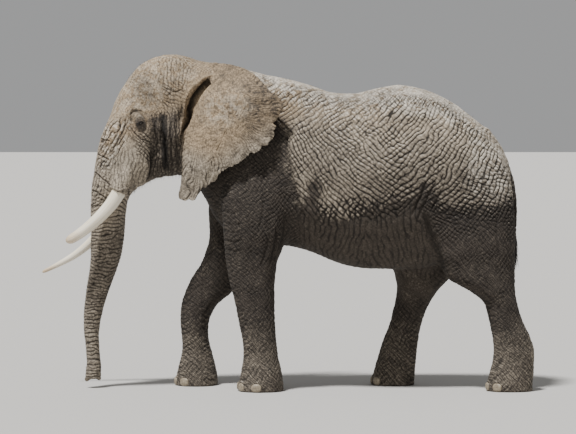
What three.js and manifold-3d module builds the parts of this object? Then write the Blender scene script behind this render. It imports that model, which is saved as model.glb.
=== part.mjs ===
// A bull African bush elephant in mid walk, life size, in millimetres.
// +Z is up, the animal faces -X and its left side is -Y. It stands on the plane z = 0.
//
// The flesh is one smooth form: each body part is a row of oval sections along an axis, the parts run
// into each other, and the surface of the whole is meshed once, thinned, and parted with thin cuts.
import * as THREE from 'three';
import { mergeVertices } from 'three/addons/utils/BufferGeometryUtils.js';
import Module from 'manifold-3d';

const wasm = await Module();
wasm.setup();

// ---------------------------------------------------------------- driving dimensions

const CUT = 0.6; // width of the gap between two parts of the body
const SKIN_GAP = 0.5; // gap between the flesh and what is set in it or lies on it
const CELL = 36; // spacing of the grid that the flesh is meshed on
const FAR = 220; // beyond this distance a form no longer bears on its neighbours
const FLESH_TRIANGLES = 3050;
const TRUNK_TIP_Z = 95;

const LEG_Y = { fore: 310, hind: 315 }; // distance of a leg's axis from the middle plane
const EYE = { x: -1508, z: 2752, radius: 25, lid: 46, sink: 16, slit: [33, 18] };
const EAR = {
  centre: [-600, 2760],
  rings: [0.42, 0.76, 0.96], // shares of the way from the centre to the rim
  steps: 44, // points round the rim
  thick: 38, // at the root
  thin: 16, // at the rim
  off: 352, // distance of the root from the middle plane
  swing: 300, // how much farther out the back of the ear stands
  tuck: 215, // how far its top edge leans back in
  stalk: 90, // depth of the fleshy root that runs into the head
};
const TUSK_SIDES = 14;
const NAIL = { half: [22, 54, 42], z: 47 }; // depth, width and height of a toenail, and its middle's height

// ---------------------------------------------------------------- sections of the body

// Each row is one oval section: [position along the axis, two limits of the oval, its middle, half width].
// Along X the limits are its top and bottom and the half width is sideways.
const torso = alongX([
  [-1120, 3330, 2330, 0, 238],
  [-980, 3370, 2160, 0, 299],
  [-860, 3378, 1975, 0, 328],
  [-770, 3374, 1790, 0, 347],
  [-640, 3352, 1640, 0, 380],
  [-480, 3318, 1550, 0, 428],
  [-240, 3262, 1492, 0, 494],
  [20, 3205, 1474, 0, 560],
  [240, 3146, 1420, 0, 608],
  [440, 3076, 1335, 0, 641],
  [690, 3066, 1262, 0, 660],
  [930, 3118, 1240, 0, 656],
  [1165, 3152, 1238, 0, 632],
  [1400, 3110, 1250, 0, 594],
  [1650, 3004, 1330, 0, 542],
  [1880, 2845, 1470, 0, 475],
  [2080, 2674, 1620, 0, 394],
  [2220, 2480, 1790, 0, 294],
  [2300, 2280, 1990, 0, 162],
], { upper: 1.75, lower: 2.25 });

const jaw = alongX([
  [-1570, 2190, 2108, 0, 48],
  [-1500, 2270, 2126, 0, 85],
  [-1400, 2400, 2176, 0, 135],
  [-1260, 2560, 2206, 0, 185],
  [-1100, 2700, 2216, 0, 235],
  [-960, 2640, 2210, 0, 220],
], { upper: 2, lower: 2.3 });

// Along Z the limits are its front and back, the middle is sideways, and so is the half width.
const head = alongZ([
  [3462, -1295, -1150, 0, 60],
  [3432, -1400, -1040, 0, 150],
  [3350, -1538, -930, 0, 235],
  [3200, -1666, -850, 0, 300],
  [3000, -1782, -830, 0, 338],
  [2800, -1862, -900, 0, 345],
  [2600, -1944, -980, 0, 335],
  [2400, -1992, -1060, 0, 300],
  [2270, -2016, -1230, 0, 252],
  [2200, -2026, -1385, 0, 232],
  [2130, -2038, -1530, 0, 218],
  [2040, -2048, -1625, 0, 207],
  [1960, -2050, -1662, 0, 200],
  [1840, -2050, -1686, 0, 192],
  [1640, -2050, -1698, 0, 178],
  [1330, -2056, -1746, 0, 154],
  [1020, -2101, -1862, 0, 122],
  [810, -2124, -1926, 0, 102],
  [600, -2126, -1966, 0, 86],
  [400, -2106, -1966, 0, 78],
  [260, -2096, -1952, 0, 76],
  [170, -2106, -1946, 0, 82],
  [TRUNK_TIP_Z, -2112, -1950, 0, 76],
], { power: 2.15 });

const foreLegLeft = alongZ([
  [2330, -560, -60, -300, 114],
  [2150, -640, 0, -330, 185],
  [1930, -678, 20, -345, 214],
  [1650, -668, -10, -340, 220],
  [1450, -652, -60, -LEG_Y.fore, 211],
  [1340, -640, -104, -LEG_Y.fore, 201],
  [1230, -622, -124, -LEG_Y.fore, 190],
  [1090, -594, -138, -LEG_Y.fore, 179],
  [870, -540, -136, -LEG_Y.fore, 163],
  [700, -506, -132, -LEG_Y.fore, 162],
  [520, -468, -116, -LEG_Y.fore, 157],
  [340, -460, -96, -LEG_Y.fore, 163],
  [190, -484, -62, -LEG_Y.fore, 198],
  [80, -506, -46, -LEG_Y.fore, 220],
  [-60, -516, -40, -LEG_Y.fore, 228],
], { power: 2.2 });

const foreLegRight = alongZ([
  [2330, -640, -100, 300, 114],
  [2150, -770, -60, 330, 185],
  [1930, -832, -70, 345, 211],
  [1650, -832, -150, 340, 218],
  [1500, -838, -260, LEG_Y.fore, 211],
  [1400, -872, -350, LEG_Y.fore, 201],
  [1270, -926, -440, LEG_Y.fore, 190],
  [1180, -982, -484, LEG_Y.fore, 180],
  [1080, -1043, -538, LEG_Y.fore, 171],
  [970, -1090, -603, LEG_Y.fore, 163],
  [860, -1124, -730, LEG_Y.fore, 160],
  [750, -1136, -806, LEG_Y.fore, 162],
  [640, -1132, -836, LEG_Y.fore, 160],
  [480, -1120, -834, LEG_Y.fore, 154],
  [340, -1122, -800, LEG_Y.fore, 163],
  [190, -1156, -764, LEG_Y.fore, 198],
  [80, -1180, -744, LEG_Y.fore, 220],
  [-60, -1188, -738, LEG_Y.fore, 228],
], { power: 2.2 });

const hindLegLeft = alongZ([
  [2420, 1620, 2150, -240, 112],
  [2200, 1480, 2270, -290, 186],
  [1950, 1420, 2318, -320, 216],
  [1700, 1420, 2332, -330, 223],
  [1450, 1480, 2336, -330, 219],
  [1280, 1560, 2334, -LEG_Y.hind, 206],
  [1150, 1650, 2332, -LEG_Y.hind, 193],
  [1040, 1842, 2336, -LEG_Y.hind, 179],
  [920, 2002, 2354, -LEG_Y.hind, 160],
  [800, 2050, 2388, -LEG_Y.hind, 147],
  [690, 2076, 2428, -LEG_Y.hind, 141],
  [560, 2100, 2492, -LEG_Y.hind, 141],
  [430, 2112, 2528, -LEG_Y.hind, 147],
  [300, 2104, 2534, -LEG_Y.hind, 156],
  [170, 2070, 2526, -LEG_Y.hind, 173],
  [70, 2050, 2520, -LEG_Y.hind, 182],
  [-60, 2044, 2516, -LEG_Y.hind, 186],
], { power: 2.2 });

const hindLegRight = alongZ([
  [2420, 1560, 2120, 240, 112],
  [2200, 1400, 2240, 290, 186],
  [1950, 1300, 2270, 320, 216],
  [1700, 1190, 2200, 330, 223],
  [1450, 1120, 2060, 330, 218],
  [1280, 1106, 1880, LEG_Y.hind, 206],
  [1150, 1130, 1730, LEG_Y.hind, 193],
  [1040, 1150, 1620, LEG_Y.hind, 179],
  [920, 1138, 1530, LEG_Y.hind, 162],
  [800, 1112, 1462, LEG_Y.hind, 149],
  [690, 1084, 1424, LEG_Y.hind, 141],
  [560, 1036, 1388, LEG_Y.hind, 140],
  [430, 990, 1368, LEG_Y.hind, 145],
  [300, 950, 1356, LEG_Y.hind, 156],
  [170, 912, 1342, LEG_Y.hind, 173],
  [70, 892, 1336, LEG_Y.hind, 182],
  [-60, 886, 1332, LEG_Y.hind, 186],
], { power: 2.2 });

const tailRoot = alongZ([
  [2700, 1950, 2080, 0, 95],
  [2580, 2030, 2165, 0, 80],
  [2440, 2120, 2246, 0, 62],
  [2340, 2185, 2292, 0, 50],
], { power: 2 });

// Ovals of bone and muscle on both sides that swell the long forms: middle seen from the side, its distance
// from the middle plane, half sizes, and tilt about Y in degrees.
const lumps = [
  { at: [-1200, 2650], y: 285, size: [230, 80, 105], tilt: 12 }, // cheekbone
  { at: [-1570, 2895], y: 190, size: [150, 105, 70], tilt: 32 }, // brow
  { at: [-1630, 2330], y: 172, size: [140, 108, 290], tilt: -16 }, // root of the tusk
  { at: [-1480, 2330], y: 150, size: [110, 95, 150], tilt: 0 }, // cheek
  { at: [-845, 3160], y: 150, size: [200, 200, 190], tilt: 0 }, // nape
  { at: [-60, 2750], y: 215, size: [230, 235, 420], tilt: -14 }, // shoulder blade
  { at: [-330, 2130], y: 250, size: [230, 190, 330], tilt: 20 }, // upper arm
  { at: [1290, 2860], y: 240, size: [300, 190, 170], tilt: 0 }, // point of the hip
  { at: [1640, 2300], y: 270, size: [430, 240, 480], tilt: 0 }, // thigh
];

// Shallow hollows, taken out of the surface.
const hollows = [
  { at: [-1340, 2935], y: 395, size: [160, 90, 150], tilt: 20 }, // temple
  { at: [-1345, 2450], y: 350, size: [75, 95, 200], tilt: 0 }, // between cheek and jaw
  { at: [-1015, 2720], y: 425, size: [65, 100, 270], tilt: -8 }, // in front of the ear
  { at: [-925, 2985], y: 410, size: [55, 115, 250], tilt: -38 }, // above it, behind the temple
  { at: [620, 2980], y: 640, size: [420, 150, 160], tilt: 0 }, // flank below the loins
];

// ---------------------------------------------------------------- the form of the flesh

// Looks up a table's row at a position by cubic interpolation, with the end rows held beyond the ends.
function rowFinder(rows) {
  const last = rows.length - 1;
  let [heldAt, held] = [NaN, null];
  return (t) => {
    if (t === heldAt) return held;
    heldAt = t;
    if (t <= rows[0][0] || t >= rows[last][0]) {
      held = t <= rows[0][0] ? rows[0] : rows[last];
      return held;
    }
    let i = 0;
    while (t > rows[i + 1][0]) i += 1;
    const [p, q] = [rows[i], rows[i + 1]];
    const before = rows[Math.max(i - 1, 0)];
    const after = rows[Math.min(i + 2, last)];
    const span = q[0] - p[0];
    const s = (t - p[0]) / span;
    const [s2, s3] = [s * s, s * s * s];
    held = p.map((v, k) => {
      const leave = ((q[k] - before[k]) / (q[0] - before[0])) * span;
      const arrive = ((after[k] - v) / (after[0] - p[0])) * span;
      const rise = 3 * s2 - 2 * s3;
      return (1 - rise) * v + rise * q[k] + (s3 - 2 * s2 + s) * leave + (s3 - s2) * arrive;
    });
    return held;
  };
}

// Distance from an oval's edge, measured along the line from its middle; negative inside, rough far outside.
function ovalDistance(u, v, halfU, halfV, power) {
  const outside = Math.max(Math.abs(u) - halfU, Math.abs(v) - halfV);
  if (outside > FAR) return outside;
  const reach = Math.sqrt(u * u + v * v) + 1e-6;
  const share = ((Math.abs(u) / halfU) ** power + (Math.abs(v) / halfV) ** power) ** (1 / power) + 1e-6;
  return reach - reach / share;
}

function withEnds(distance, t, rows) {
  const past = Math.max(rows[0][0] - t, t - rows[rows.length - 1][0], 0);
  return past > 0 ? Math.sqrt(Math.max(distance, 0) ** 2 + past * past) : distance;
}

function alongX(table, { upper, lower }) {
  const rows = table.slice().sort((a, b) => a[0] - b[0]);
  const rowAt = rowFinder(rows);
  return (x, y, z) => {
    const [, top, bottom, middle, half] = rowAt(x);
    const v = z - (top + bottom) / 2;
    return withEnds(ovalDistance(y - middle, v, half, (top - bottom) / 2, v > 0 ? upper : lower), x, rows);
  };
}

function alongZ(table, { power }) {
  const rows = table.slice().sort((a, b) => a[0] - b[0]);
  const rowAt = rowFinder(rows);
  return (x, y, z) => {
    const [, front, back, middle, half] = rowAt(z);
    const u = x - (front + back) / 2;
    return withEnds(ovalDistance(u, y - middle, (back - front) / 2, half, power), z, rows);
  };
}

// An oval lump on each side of the middle plane.
function pairOfOvals({ at: [cx, cz], y: cy, size: [a, b, c], tilt }) {
  const turn = THREE.MathUtils.degToRad(tilt);
  const [cos, sin] = [Math.cos(turn), Math.sin(turn)];
  return (x, y, z) => {
    const [dx, dz] = [x - cx, z - cz];
    const u = (dx * cos + dz * sin) / a;
    const w = (dz * cos - dx * sin) / c;
    const v = (Math.abs(y) - cy) / b;
    return (Math.sqrt(u * u + v * v + w * w) - 1) * Math.min(a, b, c);
  };
}

// Union and cut of two forms whose edge is rounded over a width.
function join(a, b, width) {
  const overlap = Math.max(width - Math.abs(a - b), 0);
  return Math.min(a, b) - (overlap * overlap) / (4 * width);
}

function carve(a, b, width) {
  return -join(-a, b, width);
}

const lumpForms = lumps.map(pairOfOvals);
const hollowForms = hollows.map(pairOfOvals);

// The whole body but the ears: negative inside, about the distance in millimetres near the surface.
function flesh(x, y, z) {
  let d = join(torso(x, y, z), head(x, y, z), 190);
  d = join(d, foreLegLeft(x, y, z), 110);
  d = join(d, foreLegRight(x, y, z), 110);
  d = join(d, hindLegLeft(x, y, z), 150);
  d = join(d, hindLegRight(x, y, z), 150);
  for (const lump of lumpForms) d = join(d, lump(x, y, z), 120);
  d = join(d, jaw(x, y, z), 50);
  for (const hollow of hollowForms) d = carve(d, hollow(x, y, z), 90);
  return join(d, tailRoot(x, y, z), 60);
}

// ---------------------------------------------------------------- meshing

function slopeOf(field, [x, y, z]) {
  const e = 2;
  return [
    (field(x + e, y, z) - field(x - e, y, z)) / (2 * e),
    (field(x, y + e, z) - field(x, y - e, z)) / (2 * e),
    (field(x, y, z + e) - field(x, y, z - e)) / (2 * e),
  ];
}

// Moves a point on to the field's zero surface.
function settle(field, point) {
  let p = point;
  for (let step = 0; step < 2; step += 1) {
    const g = slopeOf(field, p);
    const d = field(...p) / Math.max(g[0] ** 2 + g[1] ** 2 + g[2] ** 2, 0.2);
    p = p.map((v, k) => v - Math.max(-CELL, Math.min(CELL, d * g[k])));
  }
  return p;
}

// The zero surface of a field as points and four-sided faces, one point in each grid cell that it crosses.
function surfaceNet(field, low, high, cell) {
  const n = low.map((v, k) => Math.ceil((high[k] - v) / cell) + 1);
  const step = [1, n[0], n[0] * n[1]];
  const value = new Float32Array(n[0] * n[1] * n[2]);
  for (let k = 0; k < n[2]; k += 1) {
    for (let j = 0; j < n[1]; j += 1) {
      for (let i = 0; i < n[0]; i += 1) {
        value[i + step[1] * j + step[2] * k] = field(low[0] + i * cell, low[1] + j * cell, low[2] + k * cell);
      }
    }
  }
  const corners = [0, 1, 2, 3, 4, 5, 6, 7].map((c) => [c & 1, (c >> 1) & 1, c >> 2]);
  const offsets = corners.map(([a, b, c]) => a + b * step[1] + c * step[2]);
  const edges = [];
  for (let a = 0; a < 8; a += 1) {
    for (const bit of [1, 2, 4]) if (!(a & bit)) edges.push([a, a | bit]);
  }
  const pointOf = new Map();
  const points = [];
  for (let k = 0; k < n[2] - 1; k += 1) {
    for (let j = 0; j < n[1] - 1; j += 1) {
      for (let i = 0; i < n[0] - 1; i += 1) {
        const base = i + step[1] * j + step[2] * k;
        const inside = offsets.map((offset) => value[base + offset] < 0);
        const crossed = edges.filter(([a, b]) => inside[a] !== inside[b]);
        if (!crossed.length) continue;
        const sum = [0, 0, 0];
        for (const [a, b] of crossed) {
          const [va, vb] = [value[base + offsets[a]], value[base + offsets[b]]];
          const s = va / (va - vb);
          for (let m = 0; m < 3; m += 1) sum[m] += corners[a][m] + s * (corners[b][m] - corners[a][m]);
        }
        pointOf.set(base, points.length);
        const at = sum.map((v, m) => low[m] + cell * ([i, j, k][m] + v / crossed.length));
        points.push(settle(field, at));
      }
    }
  }
  const faces = [];
  for (const base of pointOf.keys()) {
    for (let m = 0; m < 3; m += 1) {
      const next = base + step[m];
      if (value[base] < 0 === value[next] < 0) continue;
      const [s, t] = [step[(m + 1) % 3], step[(m + 2) % 3]];
      const ring = [base, base - s, base - s - t, base - t].map((c) => pointOf.get(c));
      if (ring.some((p) => p === undefined)) continue;
      faces.push(value[base] < 0 ? ring : ring.reverse());
    }
  }
  return { points, faces };
}

function triangles({ points, faces }) {
  const out = [];
  for (const [a, b, c, d] of faces) {
    const near = (p, q) => Math.hypot(...points[p].map((v, k) => v - points[q][k]));
    if (near(a, c) < near(b, d)) out.push([a, b, c], [a, c, d]);
    else out.push([b, c, d], [b, d, a]);
  }
  return out;
}

const cross = (a, b) => [a[1] * b[2] - a[2] * b[1], a[2] * b[0] - a[0] * b[2], a[0] * b[1] - a[1] * b[0]];
const minus = (a, b) => [a[0] - b[0], a[1] - b[1], a[2] - b[2]];
const dot = (a, b) => a[0] * b[0] + a[1] * b[1] + a[2] * b[2];

// Thins a closed triangle mesh: the edge whose loss moves the surface least goes first.
function thin(points, faces, target) {
  const at = points.map((p) => p.slice());
  const tris = faces.map((f) => f.slice());
  const alive = new Uint8Array(tris.length).fill(1);
  const around = at.map(() => new Set());
  const quadric = at.map(() => new Float64Array(10));
  tris.forEach((t, i) => {
    t.forEach((v) => around[v].add(i));
    const n = cross(minus(at[t[1]], at[t[0]]), minus(at[t[2]], at[t[0]]));
    const area = Math.hypot(...n) || 1e-9;
    const [a, b, c] = n.map((v) => v / area);
    const d = -dot([a, b, c], at[t[0]]);
    const terms = [a * a, a * b, a * c, a * d, b * b, b * c, b * d, c * c, c * d, d * d];
    t.forEach((v) => terms.forEach((term, k) => { quadric[v][k] += term * area; }));
  });
  const errorAt = (q, [x, y, z]) => q[0] * x * x + 2 * q[1] * x * y + 2 * q[2] * x * z + 2 * q[3] * x
    + q[4] * y * y + 2 * q[5] * y * z + 2 * q[6] * y + q[7] * z * z + 2 * q[8] * z + q[9];
  const stamp = new Uint32Array(at.length);
  const heap = [];
  const lift = (i) => {
    while (i > 0 && heap[(i - 1) >> 1].cost > heap[i].cost) {
      const up = (i - 1) >> 1;
      [heap[i], heap[up]] = [heap[up], heap[i]];
      i = up;
    }
  };
  const sink = (i) => {
    for (;;) {
      let low = i;
      for (const c of [2 * i + 1, 2 * i + 2]) if (c < heap.length && heap[c].cost < heap[low].cost) low = c;
      if (low === i) return;
      [heap[i], heap[low]] = [heap[low], heap[i]];
      i = low;
    }
  };
  const offer = (a, b) => {
    const q = quadric[a].map((v, k) => v + quadric[b][k]);
    const middle = at[a].map((v, k) => (v + at[b][k]) / 2);
    const best = bestPoint(q, middle, Math.hypot(...minus(at[a], at[b])));
    heap.push({ a, b, at: best, cost: Math.max(errorAt(q, best), 0), stamps: [stamp[a], stamp[b]] });
    lift(heap.length - 1);
  };
  const neighbours = (v) => new Set([...around[v]].flatMap((i) => tris[i]).filter((w) => w !== v));
  at.forEach((_, v) => neighbours(v).forEach((w) => { if (v < w) offer(v, w); }));
  let count = tris.length;
  while (count > target && heap.length) {
    const { a, b, at: best, stamps } = heap[0];
    heap[0] = heap[heap.length - 1];
    heap.pop();
    sink(0);
    if (stamps[0] !== stamp[a] || stamps[1] !== stamp[b] || !around[a].size || !around[b].size) continue;
    const shared = [...neighbours(a)].filter((v) => neighbours(b).has(v));
    if (shared.length !== 2) continue;
    const turned = [a, b].some((v) => [...around[v]].some((i) => {
      if (tris[i].includes(a) && tris[i].includes(b)) return false;
      const old = tris[i].map((w) => at[w]);
      const moved = tris[i].map((w) => (w === v ? best : at[w]));
      const before = cross(minus(old[1], old[0]), minus(old[2], old[0]));
      const after = cross(minus(moved[1], moved[0]), minus(moved[2], moved[0]));
      return dot(before, after) < 0.3 * Math.hypot(...before) * Math.hypot(...after);
    }));
    if (turned) continue;
    for (const i of [...around[b]]) {
      if (tris[i].includes(a)) {
        alive[i] = 0;
        tris[i].forEach((v) => around[v].delete(i));
        count -= 1;
      } else {
        tris[i] = tris[i].map((v) => (v === b ? a : v));
        around[a].add(i);
      }
    }
    around[b].clear();
    at[a] = best;
    quadric[a] = quadric[a].map((v, k) => v + quadric[b][k]);
    stamp[a] += 1;
    stamp[b] += 1;
    neighbours(a).forEach((w) => offer(Math.min(a, w), Math.max(a, w)));
  }
  return { points: at, faces: tris.filter((_, i) => alive[i]) };
}

// Where the summed squared distance from the planes in q is least, held near the edge's middle.
function bestPoint(q, middle, reach) {
  const hold = 1e-3 * (q[0] + q[4] + q[7]);
  const rows = [[q[0] + hold, q[1], q[2]], [q[1], q[4] + hold, q[5]], [q[2], q[5], q[7] + hold]];
  const side = [-q[3], -q[6], -q[8]].map((v, k) => v + hold * middle[k]);
  const columns = [cross(rows[1], rows[2]), cross(rows[2], rows[0]), cross(rows[0], rows[1])];
  const det = dot(rows[0], columns[0]);
  if (Math.abs(det) < 1e-12) return middle;
  const p = [0, 1, 2].map((k) => dot(side, columns[k]) / det);
  return Math.hypot(...minus(p, middle)) < reach ? p : middle;
}

// ---------------------------------------------------------------- solids

function solidFrom(points, faces) {
  return new wasm.Manifold(new wasm.Mesh({
    numProp: 3,
    vertProperties: new Float32Array(points.flat()),
    triVerts: new Uint32Array(faces.flat()),
  }));
}

// A three.js geometry, moved by an optional matrix, as a solid.
function solidOf(geometry, matrix = new THREE.Matrix4()) {
  const plain = geometry.clone().applyMatrix4(matrix);
  plain.deleteAttribute('normal');
  plain.deleteAttribute('uv');
  const merged = mergeVertices(plain, 1e-3);
  return new wasm.Manifold(new wasm.Mesh({
    numProp: 3,
    vertProperties: merged.attributes.position.array,
    triVerts: new Uint32Array(merged.index.array),
  }));
}

// The same points pushed out along their normals.
function puffed({ points, faces }, by) {
  const normals = points.map(() => [0, 0, 0]);
  for (const t of faces) {
    const n = cross(minus(points[t[1]], points[t[0]]), minus(points[t[2]], points[t[0]]));
    for (const v of t) normals[v] = normals[v].map((c, k) => c + n[k]);
  }
  const moved = points.map((p, i) => {
    const length = Math.hypot(...normals[i]) || 1;
    return p.map((v, k) => v + (by * normals[i][k]) / length);
  });
  return solidFrom(moved, faces);
}

// A box between two corners, turned in degrees about a line along Y through its high X and high Z edge.
function block([x0, y0, z0], [x1, y1, z1], turn = 0, grow = 0) {
  const shape = new THREE.BoxGeometry(x1 - x0 + 2 * grow, y1 - y0 + 2 * grow, z1 - z0 + 2 * grow);
  shape.translate((x0 - x1) / 2, (y0 + y1) / 2, (z0 - z1) / 2);
  const matrix = new THREE.Matrix4().makeRotationY(THREE.MathUtils.degToRad(turn));
  return solidOf(shape, matrix.setPosition(x1, 0, z1));
}

function ball(at, halfSizes) {
  const matrix = new THREE.Matrix4().makeTranslation(...at).scale(new THREE.Vector3(...halfSizes));
  return solidOf(new THREE.IcosahedronGeometry(1, 1), matrix);
}

// A round rod along a curve; radiusAt takes the share of its length from 0 to 1.
function rod(points, radiusAt, shares, sides) {
  const curve = new THREE.CatmullRomCurve3(points.map((p) => new THREE.Vector3(...p)), false, 'centripetal');
  const across = new THREE.Vector3(0, 1, 0);
  const vertices = [curve.getPointAt(0).toArray()];
  for (const share of shares) {
    const middle = curve.getPointAt(share);
    const up = curve.getTangentAt(share).cross(across).normalize();
    for (let k = 0; k < sides; k += 1) {
      const angle = (2 * Math.PI * k) / sides;
      const out = across.clone().multiplyScalar(Math.cos(angle)).addScaledVector(up, Math.sin(angle));
      vertices.push(middle.clone().addScaledVector(out, radiusAt(share)).toArray());
    }
  }
  vertices.push(curve.getPointAt(1).toArray());
  const end = vertices.length - 1;
  const faces = [];
  for (let k = 0; k < sides; k += 1) {
    const next = (k + 1) % sides;
    faces.push([0, 1 + next, 1 + k]);
    for (let r = 0; r < shares.length - 1; r += 1) {
      const [a, b] = [1 + r * sides, 1 + (r + 1) * sides];
      faces.push([a + k, a + next, b + next], [a + k, b + next, b + k]);
    }
    faces.push([end - sides + k, end - sides + next, end]);
  }
  return outward(solidFrom(vertices, faces), vertices, faces);
}

// The solid itself, or the same with its faces reversed when they point inwards.
function outward(solid, vertices, faces) {
  return solid.volume() > 0 ? solid : solidFrom(vertices, faces.map((f) => f.slice().reverse()));
}

function largest(solid) {
  return solid.decompose().reduce((a, b) => (a.volume() > b.volume() ? a : b));
}

function geometryFrom(solid) {
  const { vertProperties, triVerts, numProp } = solid.getMesh();
  const positions = new Float32Array((vertProperties.length / numProp) * 3);
  for (let i = 0; i < positions.length / 3; i += 1) {
    positions.set(vertProperties.subarray(i * numProp, i * numProp + 3), i * 3);
  }
  const geometry = new THREE.BufferGeometry();
  geometry.setAttribute('position', new THREE.BufferAttribute(positions, 3));
  geometry.setIndex(new THREE.BufferAttribute(new Uint32Array(triVerts), 1));
  return geometry;
}

// ---------------------------------------------------------------- flesh, in named parts

const BODY_LOW = [-2330, -1000, -150];
const BODY_HIGH = [2680, 1000, 3570];
const net = surfaceNet(flesh, BODY_LOW, BODY_HIGH, CELL);
const skin = thin(net.points, triangles(net), FLESH_TRIANGLES);
const floor = block([-3000, -1500, -500], [3000, 1500, 0]);
const keepClear = puffed(skin, SKIN_GAP);

// How far out from the middle plane the flesh reaches at a place seen from the side.
function surfaceY(x, z) {
  let [inside, outside] = [0, 1200];
  for (let step = 0; step < 24; step += 1) {
    const y = (inside + outside) / 2;
    if (flesh(x, y, z) < 0) inside = y;
    else outside = y;
  }
  return inside;
}

const eyeY = surfaceY(EYE.x, EYE.z);

// Lids round an eye as a mound with a slit, hollowed to take the eyeball.
function addLids(solid, side) {
  const mound = ball([EYE.x, side * (eyeY - EYE.sink), EYE.z], [EYE.lid * 1.15, EYE.lid * 0.85, EYE.lid]);
  const slit = ball([EYE.x, side * (eyeY + EYE.lid), EYE.z], [EYE.slit[0], EYE.lid * 1.1, EYE.slit[1]]);
  const hollow = ball([EYE.x, side * eyeY, EYE.z], [0, 1, 2].map(() => EYE.radius + SKIN_GAP));
  return solid.add(mound).subtract(slit).subtract(hollow);
}

// Blocks that take one part each out of what is left of the body, in this order.
const WIDE = 1000;
const regions = [
  { name: 'trunk_tip', low: [-2500, -WIDE, -WIDE], high: [-1500, WIDE, 800] },
  { name: 'trunk_middle', low: [-2500, -WIDE, -WIDE], high: [-1500, WIDE, 1380] },
  { name: 'trunk_base', low: [-2500, -WIDE, -WIDE], high: [-1500, WIDE, 1950] },
  { name: 'jaw', low: [-1545, -WIDE, 1800], high: [-1120, WIDE, 2300], turn: -12 },
  { name: 'head', low: [-3000, -WIDE, 1500], high: [-905, WIDE, 3600], turn: 9.5 },
  { name: 'forefoot_left', low: [-1400, -WIDE, -WIDE], high: [150, 0, 250] },
  { name: 'forefoot_right', low: [-1400, 0, -WIDE], high: [150, WIDE, 250] },
  { name: 'foreleg_left', low: [-1400, -WIDE, -WIDE], high: [150, 0, 1440] },
  { name: 'foreleg_right', low: [-1400, 0, -WIDE], high: [150, WIDE, 1440] },
  { name: 'hindfoot_left', low: [800, -WIDE, -WIDE], high: [2700, 0, 230] },
  { name: 'hindfoot_right', low: [800, 0, -WIDE], high: [2700, WIDE, 230] },
  { name: 'hindleg_left', low: [800, -WIDE, -WIDE], high: [2700, 0, 1205] },
  { name: 'hindleg_right', low: [800, 0, -WIDE], high: [2700, WIDE, 1205] },
  { name: 'neck', low: [-3000, -WIDE, 0], high: [-330, WIDE, 3600], turn: 13 },
  { name: 'chest', low: [-3000, -WIDE, 0], high: [560, WIDE, 3600] },
  { name: 'belly', low: [-3000, -WIDE, 0], high: [1560, WIDE, 3600], turn: 12 },
];

const solids = new Map();
let rest = solidFrom(skin.points, skin.faces).subtract(floor);
rest = addLids(addLids(rest, -1), 1);
for (const { name, low, high, turn } of regions) {
  solids.set(name, largest(rest.intersect(block(low, high, turn))));
  rest = rest.subtract(block(low, high, turn, CUT));
}
solids.set('hindquarters', largest(rest));

// ---------------------------------------------------------------- ears

// Outline of the left ear from the side as [x, z], from the top of its front edge down round the lobe.
const earOutline = [
  [-723, 3205], [-833, 3116], [-925, 2960], [-995, 2790], [-1050, 2620], [-1082, 2450], [-1093, 2270],
  [-1106, 2110], [-1130, 2018], [-1100, 1966], [-990, 1964], [-922, 2051], [-810, 2127], [-646, 2270],
  [-515, 2347], [-361, 2446], [-207, 2544], [-140, 2640], [-126, 2780], [-60, 2870], [-44, 2945],
  [-110, 3020], [-207, 3104], [-316, 3226], [-430, 3305], [-560, 3350], [-720, 3372], [-860, 3366],
  [-860, 3320], [-775, 3270],
];

function smooth(from, to, v) {
  const t = Math.min(Math.max((v - from) / (to - from), 0), 1);
  return t * t * (3 - 2 * t);
}

// Distance of the ear's middle surface from the middle plane, and the depth of its root there.
function earLie(x, z) {
  const behind = Math.max(x + 945 + 0.12 * (3330 - z), 0);
  const lean = EAR.tuck * smooth(2980, 3390, z) + 60 * smooth(2350, 1980, z);
  const y = EAR.off + EAR.swing * (1 - Math.exp(-behind / 420)) - lean;
  const reach = 85 + 150 * smooth(3000, 3300, z);
  const root = Math.exp(-(((behind - 100) / reach) ** 2)) * smooth(2480, 2640, z);
  return { y, root: EAR.stalk * root };
}

function earSolid(side) {
  const loop = earOutline.map(([x, z]) => new THREE.Vector3(x, 0, z));
  const rim = new THREE.CatmullRomCurve3(loop, true, 'centripetal').getSpacedPoints(EAR.steps).slice(0, -1);
  const vertices = [];
  const place = (share, k, outer) => {
    const x = EAR.centre[0] + share * (rim[k].x - EAR.centre[0]);
    const z = EAR.centre[1] + share * (rim[k].z - EAR.centre[1]);
    const { y, root } = earLie(x, z);
    const half = share === 1 ? 0 : (EAR.thick + (EAR.thin - EAR.thick) * smooth(0.2, 1, share)) / 2;
    vertices.push([x, side * (y + (outer ? half : -half - root)), z]);
  };
  place(0, 0, true);
  for (const share of EAR.rings) for (let k = 0; k < EAR.steps; k += 1) place(share, k, true);
  for (let k = 0; k < EAR.steps; k += 1) place(1, k, true);
  for (const share of EAR.rings.toReversed()) for (let k = 0; k < EAR.steps; k += 1) place(share, k, false);
  place(0, 0, false);
  const end = vertices.length - 1;
  const faces = [];
  for (let k = 0; k < EAR.steps; k += 1) {
    const next = (k + 1) % EAR.steps;
    faces.push([0, 1 + next, 1 + k], [end - EAR.steps + k, end - EAR.steps + next, end]);
    for (let r = 0; r < 2 * EAR.rings.length; r += 1) {
      const [a, b] = [1 + r * EAR.steps, 1 + (r + 1) * EAR.steps];
      faces.push([a + k, a + next, b + next], [a + k, b + next, b + k]);
    }
  }
  return largest(outward(solidFrom(vertices, faces), vertices, faces).subtract(keepClear));
}

solids.set('ear_left', earSolid(-1));
solids.set('ear_right', earSolid(1));

// ---------------------------------------------------------------- eyes, tusks, tail, toenails

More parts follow.
